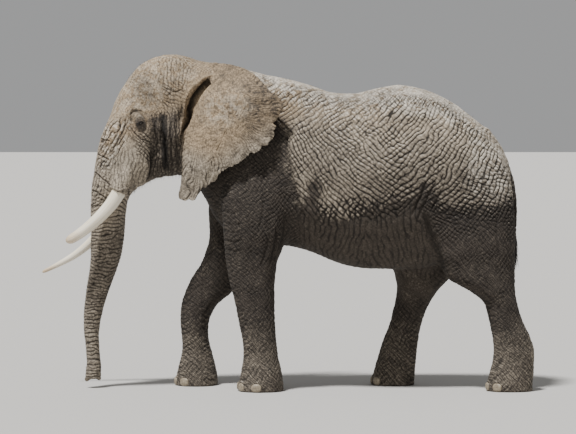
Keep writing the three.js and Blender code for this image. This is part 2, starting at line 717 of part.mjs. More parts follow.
const eyeRadii = [EYE.radius, EYE.radius, EYE.radius];
solids.set('eye_left', ball([EYE.x, -eyeY, EYE.z], eyeRadii));
solids.set('eye_right', ball([EYE.x, eyeY, EYE.z], eyeRadii));

// Radius from the root to a rounded end that starts at the share `from`.
function taper(root, tip, power, from) {
  return (share) => {
    const radius = root + (tip - root) * share ** power;
    return share < from ? radius : radius * Math.sqrt(1 - ((share - from) / (1 - from)) ** 2);
  };
}

const tuskShares = [0, 0.14, 0.28, 0.41, 0.54, 0.67, 0.8, 0.9, 0.95, 0.98];
const tuskLeft = [
  [-1600, -235, 2310], [-1680, -245, 2150], [-1744, -252, 2040], [-1826, -264, 1913], [-1949, -280, 1778],
  [-2088, -296, 1658], [-2195, -303, 1582], [-2282, -304, 1534],
];
const tuskRight = [
  [-1590, 235, 2310], [-1660, 245, 2150], [-1720, 254, 2030], [-1830, 275, 1830], [-1960, 297, 1640],
  [-2097, 316, 1490], [-2245, 326, 1372], [-2403, 322, 1280], [-2590, 304, 1188],
];
const leftRod = rod(tuskLeft, taper(78, 46, 1.3, 0.93), tuskShares, TUSK_SIDES);
const rightRod = rod(tuskRight, taper(70, 16, 1.7, 0.975), tuskShares, TUSK_SIDES);
solids.set('tusk_left', largest(leftRod.subtract(keepClear)));
solids.set('tusk_right', largest(rightRod.subtract(keepClear)));

const TAIL_END_Z = 1560;
const tailLine = [
  [2205, 0, 2430], [2252, 0, 2330], [2312, 0, 2170], [2342, 0, 2000], [2352, 0, 1820], [2350, 0, TAIL_END_Z],
];
const tuftLine = [[2350, 0, TAIL_END_Z - CUT], [2348, 0, 1460], [2345, 0, 1350], [2340, 0, 1210]];
const tailShares = [0, 0.2, 0.4, 0.6, 0.8, 1];
const tailRod = rod(tailLine, (t) => 46 - 20 * t ** 0.7, tailShares, 10);
solids.set('tail', largest(tailRod.subtract(keepClear)));
const tuftRadius = (share) => 26 + 26 * Math.sin(Math.PI * share ** 1.3) - 16 * share;
solids.set('tail_tuft', rod(tuftLine, tuftRadius, tailShares, 10));

// Toenails: foot, its middle from above, half sizes of the sole, and the nails' angles from straight ahead.
const feet = [
  { name: 'forefoot_left', middle: [-276, -LEG_Y.fore], half: [232, 220], angles: [-78, -30, 12, 56] },
  { name: 'forefoot_right', middle: [-962, LEG_Y.fore], half: [220, 220], angles: [-56, -12, 30, 78] },
  { name: 'hindfoot_left', middle: [2285, -LEG_Y.hind], half: [233, 182], angles: [-52, -8, 36] },
  { name: 'hindfoot_right', middle: [1112, LEG_Y.hind], half: [222, 182], angles: [-36, 8, 52] },
];
for (const { name, middle, half, angles } of feet) {
  angles.forEach((angle, i) => {
    const turn = THREE.MathUtils.degToRad(angle);
    const [ahead, aside] = [-Math.cos(turn) * half[0], Math.sin(turn) * half[1]];
    const matrix = new THREE.Matrix4().makeTranslation(middle[0] + ahead, middle[1] + aside, NAIL.z);
    matrix.multiply(new THREE.Matrix4().makeRotationZ(Math.atan2(aside / half[1], ahead / half[0])));
    const nail = solidOf(new THREE.SphereGeometry(1, 8, 4), matrix.scale(new THREE.Vector3(...NAIL.half)));
    solids.set(`${name.replace('foot', 'nail')}_${i + 1}`, largest(nail.subtract(keepClear).subtract(floor)));
  });
}

// ---------------------------------------------------------------- the object

const colours = [
  [/^tusk/, 0xe8dfc6],
  [/^eye/, 0x3a2415],
  [/nail/, 0x9c9280],
  [/tuft/, 0x1e1a18],
  [/^(trunk|fore|hind(leg|foot))/, 0x5f5850],
  [/./, 0x7d736a],
];

const elephant = new THREE.Group();
elephant.name = 'elephant';
const bounds = new THREE.Box3();
for (const [name, solid] of solids) {
  const color = colours.find(([pattern]) => pattern.test(name))[1];
  const material = new THREE.MeshStandardMaterial({ color, roughness: 0.85 });
  const mesh = new THREE.Mesh(geometryFrom(solid), material);
  mesh.name = name;
  elephant.add(mesh);
  bounds.expandByObject(mesh);
}
const middle = bounds.getCenter(new THREE.Vector3());
elephant.position.set(-middle.x, -middle.y, -bounds.min.z);

export default elephant;
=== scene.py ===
"""The looks of a bull African bush elephant, life size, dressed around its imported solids.

Shapes are worked out in millimetres in the modelling axes: +Z up, the animal faces -X, its left side is -Y
and its soles stand on z = 0. SHIFT carries them to the frame, in metres, when a mesh is made.
"""
import math

import bpy
import numpy as np
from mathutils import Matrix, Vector
from numpy.polynomial.polynomial import polyval2d


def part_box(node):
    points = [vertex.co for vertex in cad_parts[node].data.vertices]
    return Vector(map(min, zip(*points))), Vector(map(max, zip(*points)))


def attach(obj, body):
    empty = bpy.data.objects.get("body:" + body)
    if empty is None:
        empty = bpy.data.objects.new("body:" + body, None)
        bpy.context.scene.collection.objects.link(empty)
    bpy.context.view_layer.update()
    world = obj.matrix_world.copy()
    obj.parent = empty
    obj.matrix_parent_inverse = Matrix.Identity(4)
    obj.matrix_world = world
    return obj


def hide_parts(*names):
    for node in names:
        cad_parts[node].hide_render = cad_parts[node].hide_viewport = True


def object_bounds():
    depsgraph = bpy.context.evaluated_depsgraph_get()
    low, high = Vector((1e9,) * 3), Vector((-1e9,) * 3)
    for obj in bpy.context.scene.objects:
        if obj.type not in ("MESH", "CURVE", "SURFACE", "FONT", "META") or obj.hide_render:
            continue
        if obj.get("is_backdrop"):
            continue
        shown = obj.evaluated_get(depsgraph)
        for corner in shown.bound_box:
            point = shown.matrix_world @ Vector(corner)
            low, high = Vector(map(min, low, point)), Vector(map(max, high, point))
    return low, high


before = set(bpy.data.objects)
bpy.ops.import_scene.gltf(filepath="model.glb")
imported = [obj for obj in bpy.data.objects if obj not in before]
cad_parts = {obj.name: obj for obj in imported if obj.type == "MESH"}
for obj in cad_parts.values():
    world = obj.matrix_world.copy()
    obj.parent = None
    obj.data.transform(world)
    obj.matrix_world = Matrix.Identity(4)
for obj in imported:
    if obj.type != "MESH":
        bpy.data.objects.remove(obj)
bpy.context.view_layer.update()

MM = 0.001
SHIFT = np.array([28.64, -0.708, 0.0])  # from the modelling axes to the frame
CELL = 47  # grid of the first net; it is halved twice for the body and again for the head
FAR = 220  # how far out from a form its distance is worked out
RNG = np.random.default_rng(7)

FLESH_NODES = [
    "trunk_tip", "trunk_middle", "trunk_base", "jaw", "head", "neck", "chest", "belly", "hindquarters",
    "foreleg_left", "foreleg_right", "forefoot_left", "forefoot_right",
    "hindleg_left", "hindleg_right", "hindfoot_left", "hindfoot_right", "ear_left", "ear_right", "tail",
]

EYE = np.array([-1508.0, 0.0, 2752.0])
EYE_RADIUS = 25

# ------------------------------------------------------------------ sections of the body, as in the solids

def rows(text):
    """A table written as text: the numbers of one row before each semicolon and at the end of each line."""
    return [[float(n) for n in row.split()] for row in text.replace("\n", ";").split(";") if row.strip()]


def spots(text):
    """Places written as text: two numbers with a comma between them for each place."""
    return [tuple(float(n) for n in place.split(",")) for place in text.split()]


# Each row of a form: place on its axis, its two ends across the axis (X or Z), Y of its middle (left out where
# that is 0) and half its width along Y. TORSO and JAW run along X, the others along Z.
TORSO = rows("""
-1120 3330 2330 238; -980 3370 2160 299; -860 3378 1975 328; -770 3374 1790 347; -640 3352 1640 380
-480 3318 1550 428; -240 3262 1492 494; 20 3205 1474 560; 240 3146 1420 608; 440 3076 1335 641
690 3066 1262 660; 930 3118 1240 656; 1165 3152 1238 632; 1400 3110 1250 594; 1650 3004 1330 542
1880 2845 1470 475; 2080 2674 1620 394; 2220 2480 1790 294; 2300 2280 1990 162
""")
JAW = rows("""
-1570 2190 2108 48; -1500 2270 2126 85; -1400 2400 2176 135; -1260 2560 2206 185; -1100 2700 2216 235
-960 2640 2210 220
""")
HEAD = rows("""
3462 -1295 -1150 60; 3432 -1400 -1040 150; 3350 -1538 -930 235; 3200 -1666 -850 300; 3000 -1782 -830 338
2800 -1862 -900 345; 2600 -1944 -980 335; 2400 -1992 -1060 300; 2270 -2016 -1230 252; 2200 -2026 -1385 232
2130 -2038 -1530 218; 2040 -2048 -1625 207; 1960 -2050 -1662 200; 1840 -2050 -1686 192; 1640 -2050 -1698 178
1330 -2056 -1746 154; 1020 -2101 -1862 122; 810 -2124 -1926 102; 600 -2126 -1966 86; 400 -2106 -1966 78
260 -2096 -1952 76; 170 -2106 -1946 82; 95 -2112 -1950 76
""")
FORE_LEFT = rows("""
2330 -560 -60 -300 114; 2150 -640 0 -330 185; 1930 -678 20 -345 214; 1650 -668 -10 -340 220
1450 -652 -60 -310 211; 1340 -640 -104 -310 201; 1230 -622 -124 -310 190; 1090 -594 -138 -310 179
870 -540 -136 -310 163; 700 -506 -132 -310 162; 520 -468 -116 -310 157; 340 -460 -96 -310 163
190 -484 -62 -310 198; 80 -506 -46 -310 220; -60 -516 -40 -310 228
""")
FORE_RIGHT = rows("""
2330 -640 -100 300 114; 2150 -770 -60 330 185; 1930 -832 -70 345 211; 1650 -832 -150 340 218
1500 -838 -260 310 211; 1400 -872 -350 310 201; 1270 -926 -440 310 190; 1180 -982 -484 310 180
1080 -1043 -538 310 171; 970 -1090 -603 310 163; 860 -1124 -730 310 160; 750 -1136 -806 310 162
640 -1132 -836 310 160; 480 -1120 -834 310 154; 340 -1122 -800 310 163; 190 -1156 -764 310 198
80 -1180 -744 310 220; -60 -1188 -738 310 228
""")
HIND_LEFT = rows("""
2420 1620 2150 -240 112; 2200 1480 2270 -290 186; 1950 1420 2318 -320 216; 1700 1420 2332 -330 223
1450 1480 2336 -330 219; 1280 1560 2334 -315 206; 1150 1650 2332 -315 193; 1040 1842 2336 -315 179
920 2002 2354 -315 160; 800 2050 2388 -315 147; 690 2076 2428 -315 141; 560 2100 2492 -315 141
430 2112 2528 -315 147; 300 2104 2534 -315 156; 170 2070 2526 -315 173; 70 2050 2520 -315 182
-60 2044 2516 -315 186
""")
HIND_RIGHT = rows("""
2420 1560 2120 240 112; 2200 1400 2240 290 186; 1950 1300 2270 320 216; 1700 1190 2200 330 223
1450 1120 2060 330 218; 1280 1106 1880 315 206; 1150 1130 1730 315 193; 1040 1150 1620 315 179
920 1138 1530 315 162; 800 1112 1462 315 149; 690 1084 1424 315 141; 560 1036 1388 315 140; 430 990 1368 315 145
300 950 1356 315 156; 170 912 1342 315 173; 70 892 1336 315 182; -60 886 1332 315 186
""")
TAIL_ROOT = rows("""
2700 1950 2080 95; 2580 2030 2165 80; 2440 2120 2246 62; 2340 2185 2292 50
""")
TAIL = rows("""
2500 2130 2206 38; 2430 2160 2250 45; 2330 2211 2293 40; 2170 2275 2349 37; 2000 2308 2376 34; 1820 2321 2383 31
1555 2323 2377 27
""")
# Ovals on both sides: X and Z of the middle, distance from the middle plane, half sizes, tilt in degrees.
LUMPS = rows("""
-1200 2650 285 230 80 105 12; -1570 2895 190 150 105 70 32; -1630 2330 172 140 108 290 -16
-1480 2330 150 110 95 150 0; -845 3160 150 200 200 190 0; -60 2750 215 230 235 420 -14
-330 2130 250 230 190 330 20; 1290 2860 240 300 190 170 0; 1640 2300 270 430 240 480 0
""")
HOLLOWS = rows("""
-1340 2935 395 160 90 150 20; -1345 2450 350 75 95 200 0; -1015 2720 425 65 100 270 -8
-925 2985 410 55 115 250 -38; 620 2980 640 420 150 160 0
""")


# ------------------------------------------------------------------ the form of the flesh

def smooth(low, high, value):
    """0 at low and below, 1 at high and above, and a smooth rise between."""
    t = np.clip((value - low) / (high - low), 0, 1)
    return t * t * (3 - 2 * t)


def hill(*terms):
    """1 where every term is 0, and close to 0 where one of them is past 2."""
    return np.exp(-sum(term * term for term in terms))


def row_at(rows, t):
    """Rows of a table at positions t, by cubic interpolation, the end rows held beyond the ends."""
    last = len(rows) - 1
    i = np.clip(np.searchsorted(rows[:, 0], t, side="right") - 1, 0, last - 1)
    p, q = rows[i], rows[i + 1]
    before, after = rows[np.maximum(i - 1, 0)], rows[np.minimum(i + 2, last)]
    span = (q - p)[:, :1]
    s = np.clip((t[:, None] - p[:, :1]) / span, 0, 1)
    leave = (q - before) / (q - before)[:, :1] * span
    arrive = (after - p) / (after - p)[:, :1] * span
    rise = s * s * (3 - 2 * s)
    return (1 - rise) * p + rise * q + s * (1 - s) ** 2 * leave - s * s * (1 - s) * arrive


def oval_distance(u, v, half_u, half_v, power):
    """About the distance from an oval; a power of 2 makes it an ellipse and a higher one squares it off."""
    reach = np.sqrt(u * u + v * v) + 1e-6
    share = ((np.abs(u) / half_u) ** power + (np.abs(v) / half_v) ** power) ** (1 / power) + 1e-6
    return reach - reach / share


def form(table, axis, power, lower=None):
    """Distance from a row of ovals along an axis (0 along X, 2 along Z); lower is the power of its underside."""
    rows = np.array(sorted(row if len(row) == 5 else row[:3] + [0.0] + row[3:] for row in table))
    other = 2 - axis
    reach = FAR + np.abs(rows[:, 4]).max()
    low, high = np.zeros(3), np.zeros(3)
    low[axis], high[axis] = rows[0, 0] - FAR, rows[-1, 0] + FAR
    low[other], high[other] = rows[:, 1:3].min() - FAR, rows[:, 1:3].max() + FAR
    low[1], high[1] = rows[:, 3].min() - reach, rows[:, 3].max() + reach

    def distance(p):
        out = np.full(len(p), 2.0 * FAR)
        near = np.all((p > low) & (p < high), axis=1)
        p = p[near]
        row = row_at(rows, p[:, axis])
        u = p[:, other] - (row[:, 1] + row[:, 2]) / 2
        half = np.abs(row[:, 2] - row[:, 1]) / 2
        shape = power if lower is None else np.where(u > 0, power, lower)
        d = oval_distance(u, p[:, 1] - row[:, 3], half, row[:, 4], shape)
        past = np.maximum(np.maximum(rows[0, 0] - p[:, axis], p[:, axis] - rows[-1, 0]), 0)
        out[near] = np.where(past > 0, np.sqrt(np.maximum(d, 0) ** 2 + past ** 2), d)
        return out

    return distance


def pair_of_ovals(x, z, off, half_x, half_y, half_z, tilt):
    """About the distance from a row of LUMPS or HOLLOWS, on both sides of the body."""
    turn = math.radians(tilt)
    cos, sin = math.cos(turn), math.sin(turn)

    def distance(p):
        dx, dz = p[:, 0] - x, p[:, 2] - z
        u = (dx * cos + dz * sin) / half_x
        w = (dz * cos - dx * sin) / half_z
        v = (np.abs(p[:, 1]) - off) / half_y
        return (np.sqrt(u * u + v * v + w * w) - 1) * min(half_x, half_y)

    return distance


def join(a, b, width):
    """The nearer of two distances, rounded over a width where they meet."""
    overlap = np.maximum(width - np.abs(a - b), 0)
    return np.minimum(a, b) - overlap * overlap / (4 * width)


torso, jaw = form(TORSO, 0, 1.75, lower=2.25), form(JAW, 0, 2, lower=2.3)
head_form = form(HEAD, 2, 2.15)
legs = [(form(table, 2, 2.2), width) for table, width in
        ((FORE_LEFT, 110), (FORE_RIGHT, 110), (HIND_LEFT, 150), (HIND_RIGHT, 150))]
tail_root, tail_form = form(TAIL_ROOT, 2, 2), form(TAIL, 2, 2)
lumps = [pair_of_ovals(*row) for row in LUMPS]
hollows = [pair_of_ovals(*row) for row in HOLLOWS]


def sheath(p):
    """The lip that grips each tusk: a cone round its root, cut off square."""
    start, end = np.array([-1560.0, 212.0, 2420.0]), np.array([-1742.0, 251.0, 2040.0])
    length = np.linalg.norm(end - start)
    axis = (end - start) / length
    q = np.stack([p[:, 0], np.abs(p[:, 1]), p[:, 2]], axis=1) - start
    along = q @ axis
    radial = np.linalg.norm(q - along[:, None] * axis, axis=1) - (96 + 4 * np.clip(along / length, 0, 1))
    return -join(-radial, length - along, 26)


def flesh(p):
    """The whole body but the ears: negative inside, about the distance in millimetres near the surface."""
    d = join(torso(p), head_form(p), 190)
    for leg, width in legs:
        d = join(d, leg(p), width)
    for lump in lumps:
        d = join(d, lump(p), 120)
    near = (p[:, 0] < -1300) & (p[:, 2] > 1800) & (p[:, 2] < 2700)
    d[near] = join(d[near], sheath(p[near]), 45)
    d = join(d, jaw(p), 50)
    for hollow in hollows:
        d = -join(-d, hollow(p), 90)
    d = join(d, tail_root(p), 60)
    d = join(d, tail_form(p), 30)
    return -join(-d, p[:, 2], 16)


def slope(field, p, e=2.0):
    return np.stack([(field(p + step) - field(p - step)) / (2 * e) for step in np.eye(3) * e], axis=1)


def settle(field, p, steps=2, most=CELL):
    """Steps on to the zero surface along its slope."""
    for _ in range(steps):
        g = slope(field, p)
        d = field(p) / np.maximum((g * g).sum(axis=1), 0.2)
        p = p - np.clip(d[:, None] * g, -most, most)
    return p


def unit(vectors):
    return vectors / np.maximum(np.linalg.norm(vectors, axis=-1, keepdims=True), 1e-9)


def gather(index, values, count):
    """The sum of the rows of values at each index."""
    return np.stack([np.bincount(index, column, count) for column in values.T], axis=1)


def net_normals(points, quads):
    a, b, c, d = (points[quads[:, k]] for k in range(4))
    face = np.cross(c - a, d - b)
    return unit(sum(gather(quads[:, i], face, len(points)) for i in range(4)))


def settle_along(field, p, normals, most=8.0):
    """One step on to the zero surface along given normals."""
    d = field(p)
    rise = np.maximum((field(p + 3 * normals) - d) / 3, 0.4)
    return p - np.clip(d / rise, -most, most)[:, None] * normals


def surface_net(field, low, high, cell):
    """The zero surface of a field as points and four-sided faces facing out."""
    low, high = np.array(low, float), np.array(high, float)
    n = np.ceil((high - low) / cell).astype(int) + 1
    grid = np.stack(np.meshgrid(*[np.arange(k) for k in n], indexing="ij"), -1).reshape(-1, 3)
    value = field(low + cell * grid).reshape(n)
    stride = np.array([n[1] * n[2], n[2], 1])
    flat = value.ravel()
    ids, places, rings = [], [], []
    for axis in range(3):
        room = [slice(0, -1) if k == axis else slice(1, None) for k in range(3)]
        base = np.argwhere(np.ones(n, bool)[tuple(room)]) + [int(k != axis) for k in range(3)]
        here = base @ stride
        there = here + stride[axis]
        crossed = (flat[here] < 0) != (flat[there] < 0)
        base, here, there = base[crossed], here[crossed], there[crossed]
        share = flat[here] / (flat[here] - flat[there])
        spot = base + share[:, None] * np.eye(3)[axis]
        s, t = stride[(axis + 1) % 3], stride[(axis + 2) % 3]
        ring = np.stack([here, here - s, here - s - t, here - t], axis=1)
        ids.append(ring.ravel())
        places.append(np.repeat(spot, 4, axis=0))
        ring[flat[here] > 0] = ring[flat[here] > 0][:, ::-1]
        rings.append(ring)
    ids = np.concatenate(ids)
    cells, inverse = np.unique(ids, return_inverse=True)
    points = gather(inverse, np.concatenate(places), len(cells)) / np.bincount(inverse)[:, None]
    quads = np.searchsorted(cells, np.concatenate(rings))
    return low + cell * points, quads


def split(points, quads, flags):
    """Splits flagged quads in four; a neighbour that isn't flagged becomes a face with more corners.

    Gives all the points, the small quads, the quads left alone and those faces with more corners.
    """
    n = len(points)
    a, b = quads, np.roll(quads, -1, axis=1)
    keys = np.minimum(a, b).astype(np.int64) * n + np.maximum(a, b)
    edges, where = np.unique(keys, return_inverse=True)
    where = where.reshape(keys.shape)
    cut = np.zeros(len(edges), bool)
    cut[where[flags].ravel()] = True
    new = np.full(len(edges), -1)
    new[cut] = n + np.arange(cut.sum())
    middles = (points[edges[cut] // n] + points[edges[cut] % n]) / 2
    centre = n + cut.sum() + np.arange(flags.sum())
    centres = points[quads[flags]].mean(axis=1)
    q, m = quads[flags], new[where[flags]]
    small = [np.stack([q[:, k], m[:, k], centre, m[:, k - 1]], axis=1) for k in range(4)]
    touched = ~flags & cut[where].any(axis=1)
    odd = [[v for pair in zip(corners, mids) for v in pair if v >= 0]
           for corners, mids in zip(quads[touched].tolist(), new[where[touched]].tolist())]
    points = np.concatenate([points, middles, centres])
    return points, np.concatenate(small), quads[~flags & ~touched], odd


def spread(values, edges, rounds, share=1.0):
    """Values averaged with those of neighbouring points, by a share in each round."""
    a, b = edges.T
    n = len(values)
    count = np.maximum(np.bincount(a, minlength=n) + np.bincount(b, minlength=n), 1)
    columns = values.reshape(n, -1)
    for _ in range(rounds):
        total = gather(a, columns[b], n) + gather(b, columns[a], n)
        columns = columns + share * (total / count[:, None] - columns)
    return columns.reshape(values.shape)


def relax(points, quads, rounds):
    """Evens out the spacing of the points of a net."""
    sides = np.stack([quads.ravel(), np.roll(quads, -1, axis=1).ravel()], axis=1)
    return spread(points, sides, rounds, 0.4)


def tube_faces(rings, sides, inward=False):
    """Faces between rings of points, and a face on the first ring and on the last."""
    index = np.arange(rings * sides).reshape(rings, sides)
    a, b = index[:-1], index[1:]
    quads = np.stack([a, b, np.roll(b, -1, axis=1), np.roll(a, -1, axis=1)], axis=-1).reshape(-1, 4)
    caps = [index[0, ::-1], index[-1]] if inward else [index[0], index[-1, ::-1]]
    return (quads[:, [0, 3, 2, 1]] if inward else quads).tolist() + [cap.tolist() for cap in caps]


def mesh_from(name, points, faces):
    mesh = bpy.data.meshes.new(name)
    mesh.from_pydata(((points + SHIFT) * MM).tolist(), [], faces)
    mesh.update()
    return mesh


def object_from(name, mesh):
    ob = bpy.data.objects.new(name, mesh)
    bpy.context.scene.collection.objects.link(ob)
    return ob


def read(items, name, width, kind=np.float32):
    out = np.empty(len(items) * width, kind)
    items.foreach_get(name, out)
    return out.reshape(-1, width)


def read_points(mesh):
    return read(mesh.vertices, "co", 3).astype(float) / MM - SHIFT


def write_points(mesh, points):
    mesh.vertices.foreach_set("co", ((points + SHIFT) * MM).astype(np.float32).ravel())
    mesh.update()


def read_normals(mesh):
    return read(mesh.vertex_normals, "vector", 3).astype(float)


def attribute(mesh, name, values):
    layer = mesh.attributes.new(name, "FLOAT", "POINT")
    layer.data.foreach_set("value", np.asarray(values, np.float32))


# ------------------------------------------------------------------ noise

PERMUTED = RNG.permutation(4096).astype(np.int32)
GRADIENTS = unit(RNG.normal(size=(4096, 3))).T.astype(np.float32).copy()


def noise(p, scale, seed=0):
    """Smooth noise between about -1 and 1 with features of a size."""
    q = [(p[:, k] / scale + seed * 17.31).astype(np.float32) for k in range(3)]
    cell = [np.floor(c).astype(np.int32) for c in q]
    f = [c - b for c, b in zip(q, cell)]
    w = [c * c * c * (c * (6 * c - 15) + 10) for c in f]
    total = np.zeros(len(p), np.float32)
    for i in (0, 1):
        first = PERMUTED[(cell[0] + i) & 4095]
        for j in (0, 1):
            second = PERMUTED[(first + cell[1] + j) & 4095]
            side = (w[0] if i else 1 - w[0]) * (w[1] if j else 1 - w[1])
            for k in (0, 1):
                key = PERMUTED[(second + cell[2] + k) & 4095]
                dot = (f[0] - i) * GRADIENTS[0, key] + (f[1] - j) * GRADIENTS[1, key] + (f[2] - k) * GRADIENTS[2, key]
                total += dot * side * (w[2] if k else 1 - w[2])
    return 1.6 * total.astype(float)


# ------------------------------------------------------------------ the net of the body

NET_BOX = (-2330, -1000, -150), (2680, 1000, 3570)
EYE_REACH = 125  # the net is finest within this distance of an eye


def body_net():
    """Points of the body's net, its quads from fine to coarse, and its faces with more corners."""
    points, quads = surface_net(flesh, *NET_BOX, CELL)
    points = settle(flesh, relax(settle(flesh, points), quads, 2))
    for _ in range(2):
        points, quads, _, _ = split(points, quads, np.ones(len(quads), bool))
        points = relax(points, quads, 1)
        points = settle_along(flesh, points, net_normals(points, quads))
    x, y, z = points[quads].mean(axis=1).T
    flags = (x < -1000) | (x > -380) & (z > 1560) & (z < 3060) & (np.abs(y) > 240)  # the head and the flanks
    points, fine, coarse, odd = split(points, quads, flags)
    points = settle_along(flesh, points, net_normals(points, np.concatenate([fine, coarse])))
    x, y, z = points[fine].mean(axis=1).T
    flags = (np.hypot(x - EYE[0], z - EYE[2]) < EYE_REACH) & (np.abs(y) > 200)
    points, finest, fine, more = split(points, fine, flags)
    points = settle_along(flesh, points, net_normals(points, np.concatenate([finest, fine, coarse])))
    return points, [finest, fine, coarse], odd + more


# ------------------------------------------------------------------ ears

EAR_OUTLINE = spots("""
-723,3205 -833,3116 -925,2960 -995,2790 -1050,2620 -1082,2450 -1093,2270 -1106,2110 -1130,2018 -1100,1966
-990,1964 -922,2051 -810,2127 -646,2270 -515,2347 -361,2446 -207,2544 -140,2640 -126,2780 -60,2870 -44,2945
-110,3020 -207,3104 -316,3226 -430,3305 -560,3350 -720,3372 -860,3366 -860,3320 -775,3270""")  # X,Z
EAR_CENTRE = np.array([-600.0, 2760.0])
EAR_STEPS, EAR_RINGS = 400, 64
EAR_THICK, RIM_THICK, ROUNDED = 38, 14, 0.93  # ROUNDED is the share of the way out at which the rim is rounded off
SCALLOPS, TATTERS, NICKS, RUFFLES = 28, 15, 7, 13  # how far the rim wanders, in millimetres


def smooth_line(knots, fine, closed=False):
    """Points on a smooth curve through the knots, fine of them to a span."""
    knots = np.array(knots, float)
    spans = len(knots) if closed else len(knots) - 1
    before, after = (knots[-1:], knots[:2]) if closed else (2 * knots[0] - knots[1], 2 * knots[-1] - knots[-2])
    ends = np.vstack([before, knots, after])
    t = np.linspace(0, spans, spans * fine + 1)
    i = np.minimum(t.astype(int), spans - 1)
    s = (t - i)[:, None]
    p0, p1, p2, p3 = (ends[i + k] for k in range(4))
    return 0.5 * (2 * p1 + (p2 - p0) * s + (2 * p0 - 5 * p1 + 4 * p2 - p3) * s ** 2
                  + (3 * p1 - p0 - 3 * p2 + p3) * s ** 3)


def evenly(line, count, closed=False):
    """Evenly spaced points on a line and how far along it each lies."""
    length = np.concatenate([[0], np.cumsum(np.linalg.norm(np.diff(line, axis=0), axis=1))])
    at = np.linspace(0, length[-1], count, endpoint=not closed)
    return np.stack([np.interp(at, length, column) for column in line.T], axis=1), at


def ear_lie(x, z):
    """How far out an ear lies at a place of the side view, and how much thicker it is at its root."""
    behind = np.maximum(x + 945 + 0.12 * (3330 - z), 0)
    lean = 215 * smooth(2980, 3390, z) + 60 * smooth(2350, 1980, z)
    y = 352 + 300 * (1 - np.exp(-behind / 420)) - lean
    reach = 85 + 150 * smooth(3000, 3300, z)
    return y, 90 * hill((behind - 100) / reach) * smooth(2480, 2640, z)


def ear_net(side):
    """Points and faces of one ear: rings from its middle to its scalloped rim, outside and then inside."""
    rim, along = evenly(smooth_line(EAR_OUTLINE, 40, closed=True), EAR_STEPS, closed=True)
    tangent = np.roll(rim, -1, axis=0) - np.roll(rim, 1, axis=0)
    normal = unit(np.stack([tangent[:, 1], -tangent[:, 0]], axis=1))
    normal *= np.sign((normal * (rim - EAR_CENTRE)).sum(axis=1).mean())
    ragged = smooth(-1120, -1000, rim[:, 0]) * smooth(3150, 2960, rim[:, 1])
    ragged *= (rim[:, 1] - EAR_CENTRE[1] < 1.1 * (rim[:, 0] - EAR_CENTRE[0]) + 250)
    spot = np.stack([rim[:, 0], np.zeros(len(rim)), rim[:, 1]], axis=1)
    phase = along / 98 + 1.5 * noise(spot, 170, 3 + side)
    scallop = (np.abs(np.sin(math.pi * phase)) ** 0.7 - 0.62) * np.clip(0.62 + 0.9 * noise(spot, 130, 12), 0.15, 1.2)
    uneven = SCALLOPS * scallop + TATTERS * noise(spot, 46, 5 + side) + NICKS * noise(spot, 20, 8)
    rim = rim + normal * (ragged * uneven)[:, None]
    ruffle = ragged * np.sin(2 * math.pi * (along / 185 + 0.6 * noise(spot, 260, 9 + side)))
    shares = np.concatenate([np.linspace(0.012, 0.93, EAR_RINGS), [0.955, 0.975, 0.988, 0.996, 1.0]])
    rings = []
    for outer in (True, False):
        for share in (shares if outer else shares[::-1][1:]):
            xz = EAR_CENTRE + share * (rim - EAR_CENTRE)
            y, root = ear_lie(xz[:, 0], xz[:, 1])
            y = y + RUFFLES * ruffle * share ** 7
            thick = EAR_THICK + (RIM_THICK - EAR_THICK) * smooth(0.2, 1, share)
            half = 0.5 * thick * math.sqrt(max(1 - smooth(ROUNDED, 1.0, share) ** 2, 0))
            rings.append(np.stack([xz[:, 0], side * (y + (half if outer else -half - root)), xz[:, 1]], axis=1))
    faces = tube_faces(len(rings), EAR_STEPS, inward=True)
    return np.concatenate(rings), faces if side < 0 else [f[::-1] for f in faces]


def turned_out(points, faces):
    """The faces of a closed shape, turned so that they face out."""
    a, b, c, d = points[np.array([face[:4] for face in faces if len(face) > 3])].transpose(1, 0, 2)
    volume = (np.cross(a, b) * c).sum() + (np.cross(a, c) * d).sum()
    return faces if volume >= 0 else [face[::-1] for face in faces]


def union(base, *others):
    """base joined with closed meshes into one closed skin."""
    for other in others:
        change = base.modifiers.new("join", "BOOLEAN")
        change.operation, change.solver, change.object = "UNION", "MANIFOLD", other
    depsgraph = bpy.context.evaluated_depsgraph_get()
    mesh = bpy.data.meshes.new_from_object(base.evaluated_get(depsgraph))
    base.modifiers.clear()
    old = base.data
    base.data = mesh
    bpy.data.meshes.remove(old)
    for other in others:
        bpy.data.objects.remove(other, do_unlink=True)


points, parts, odd = body_net()
body = object_from("skin", mesh_from("skin", points, [face for part in parts for face in part.tolist()] + odd))
ears = []
for side in (-1, 1):
    ear_points, ear_faces = ear_net(side)
    ears.append(object_from("ear", mesh_from("ear", ear_points, turned_out(ear_points, ear_faces))))
union(body, *ears)


# ------------------------------------------------------------------ shaping the skin

OFF_FLESH = 2.5  # a point further than this from the flesh, in millimetres, lies on an ear
SEAM_ROUNDS, SEAM_WIDTH, EAR_BLUR = 12, 6, 4  # smoothing of the skin where the ears join, in rounds
skin = body.data
edges = read(skin.edges, "vertices", 2, np.int32)
P = read_points(skin)
on_ear = flesh(P) > OFF_FLESH
seam = np.zeros(len(P))
seam[edges[on_ear[edges[:, 0]] != on_ear[edges[:, 1]]]] = 1
seam = np.clip(spread(seam, edges, SEAM_WIDTH) * 5, 0, 1)
for _ in range(SEAM_ROUNDS):
    P = P + 0.6 * seam[:, None] * (spread(P, edges, 1) - P)
write_points(skin, P)
ear = smooth(0, 1, spread(on_ear.astype(float), edges, EAR_BLUR))

# Folds are laid out on a side view whose columns and rows are about 10 mm, the same on both sides.
VIEW_FAR, VIEW_FOCAL = 25000.0, 2403.8  # the camera's distance in millimetres and its focal length in columns
VIEW_COLUMN, VIEW_ROW, VIEW_HEIGHT = 288.0, 145.5, 2522.0  # the middle of the view, and its height above the floor


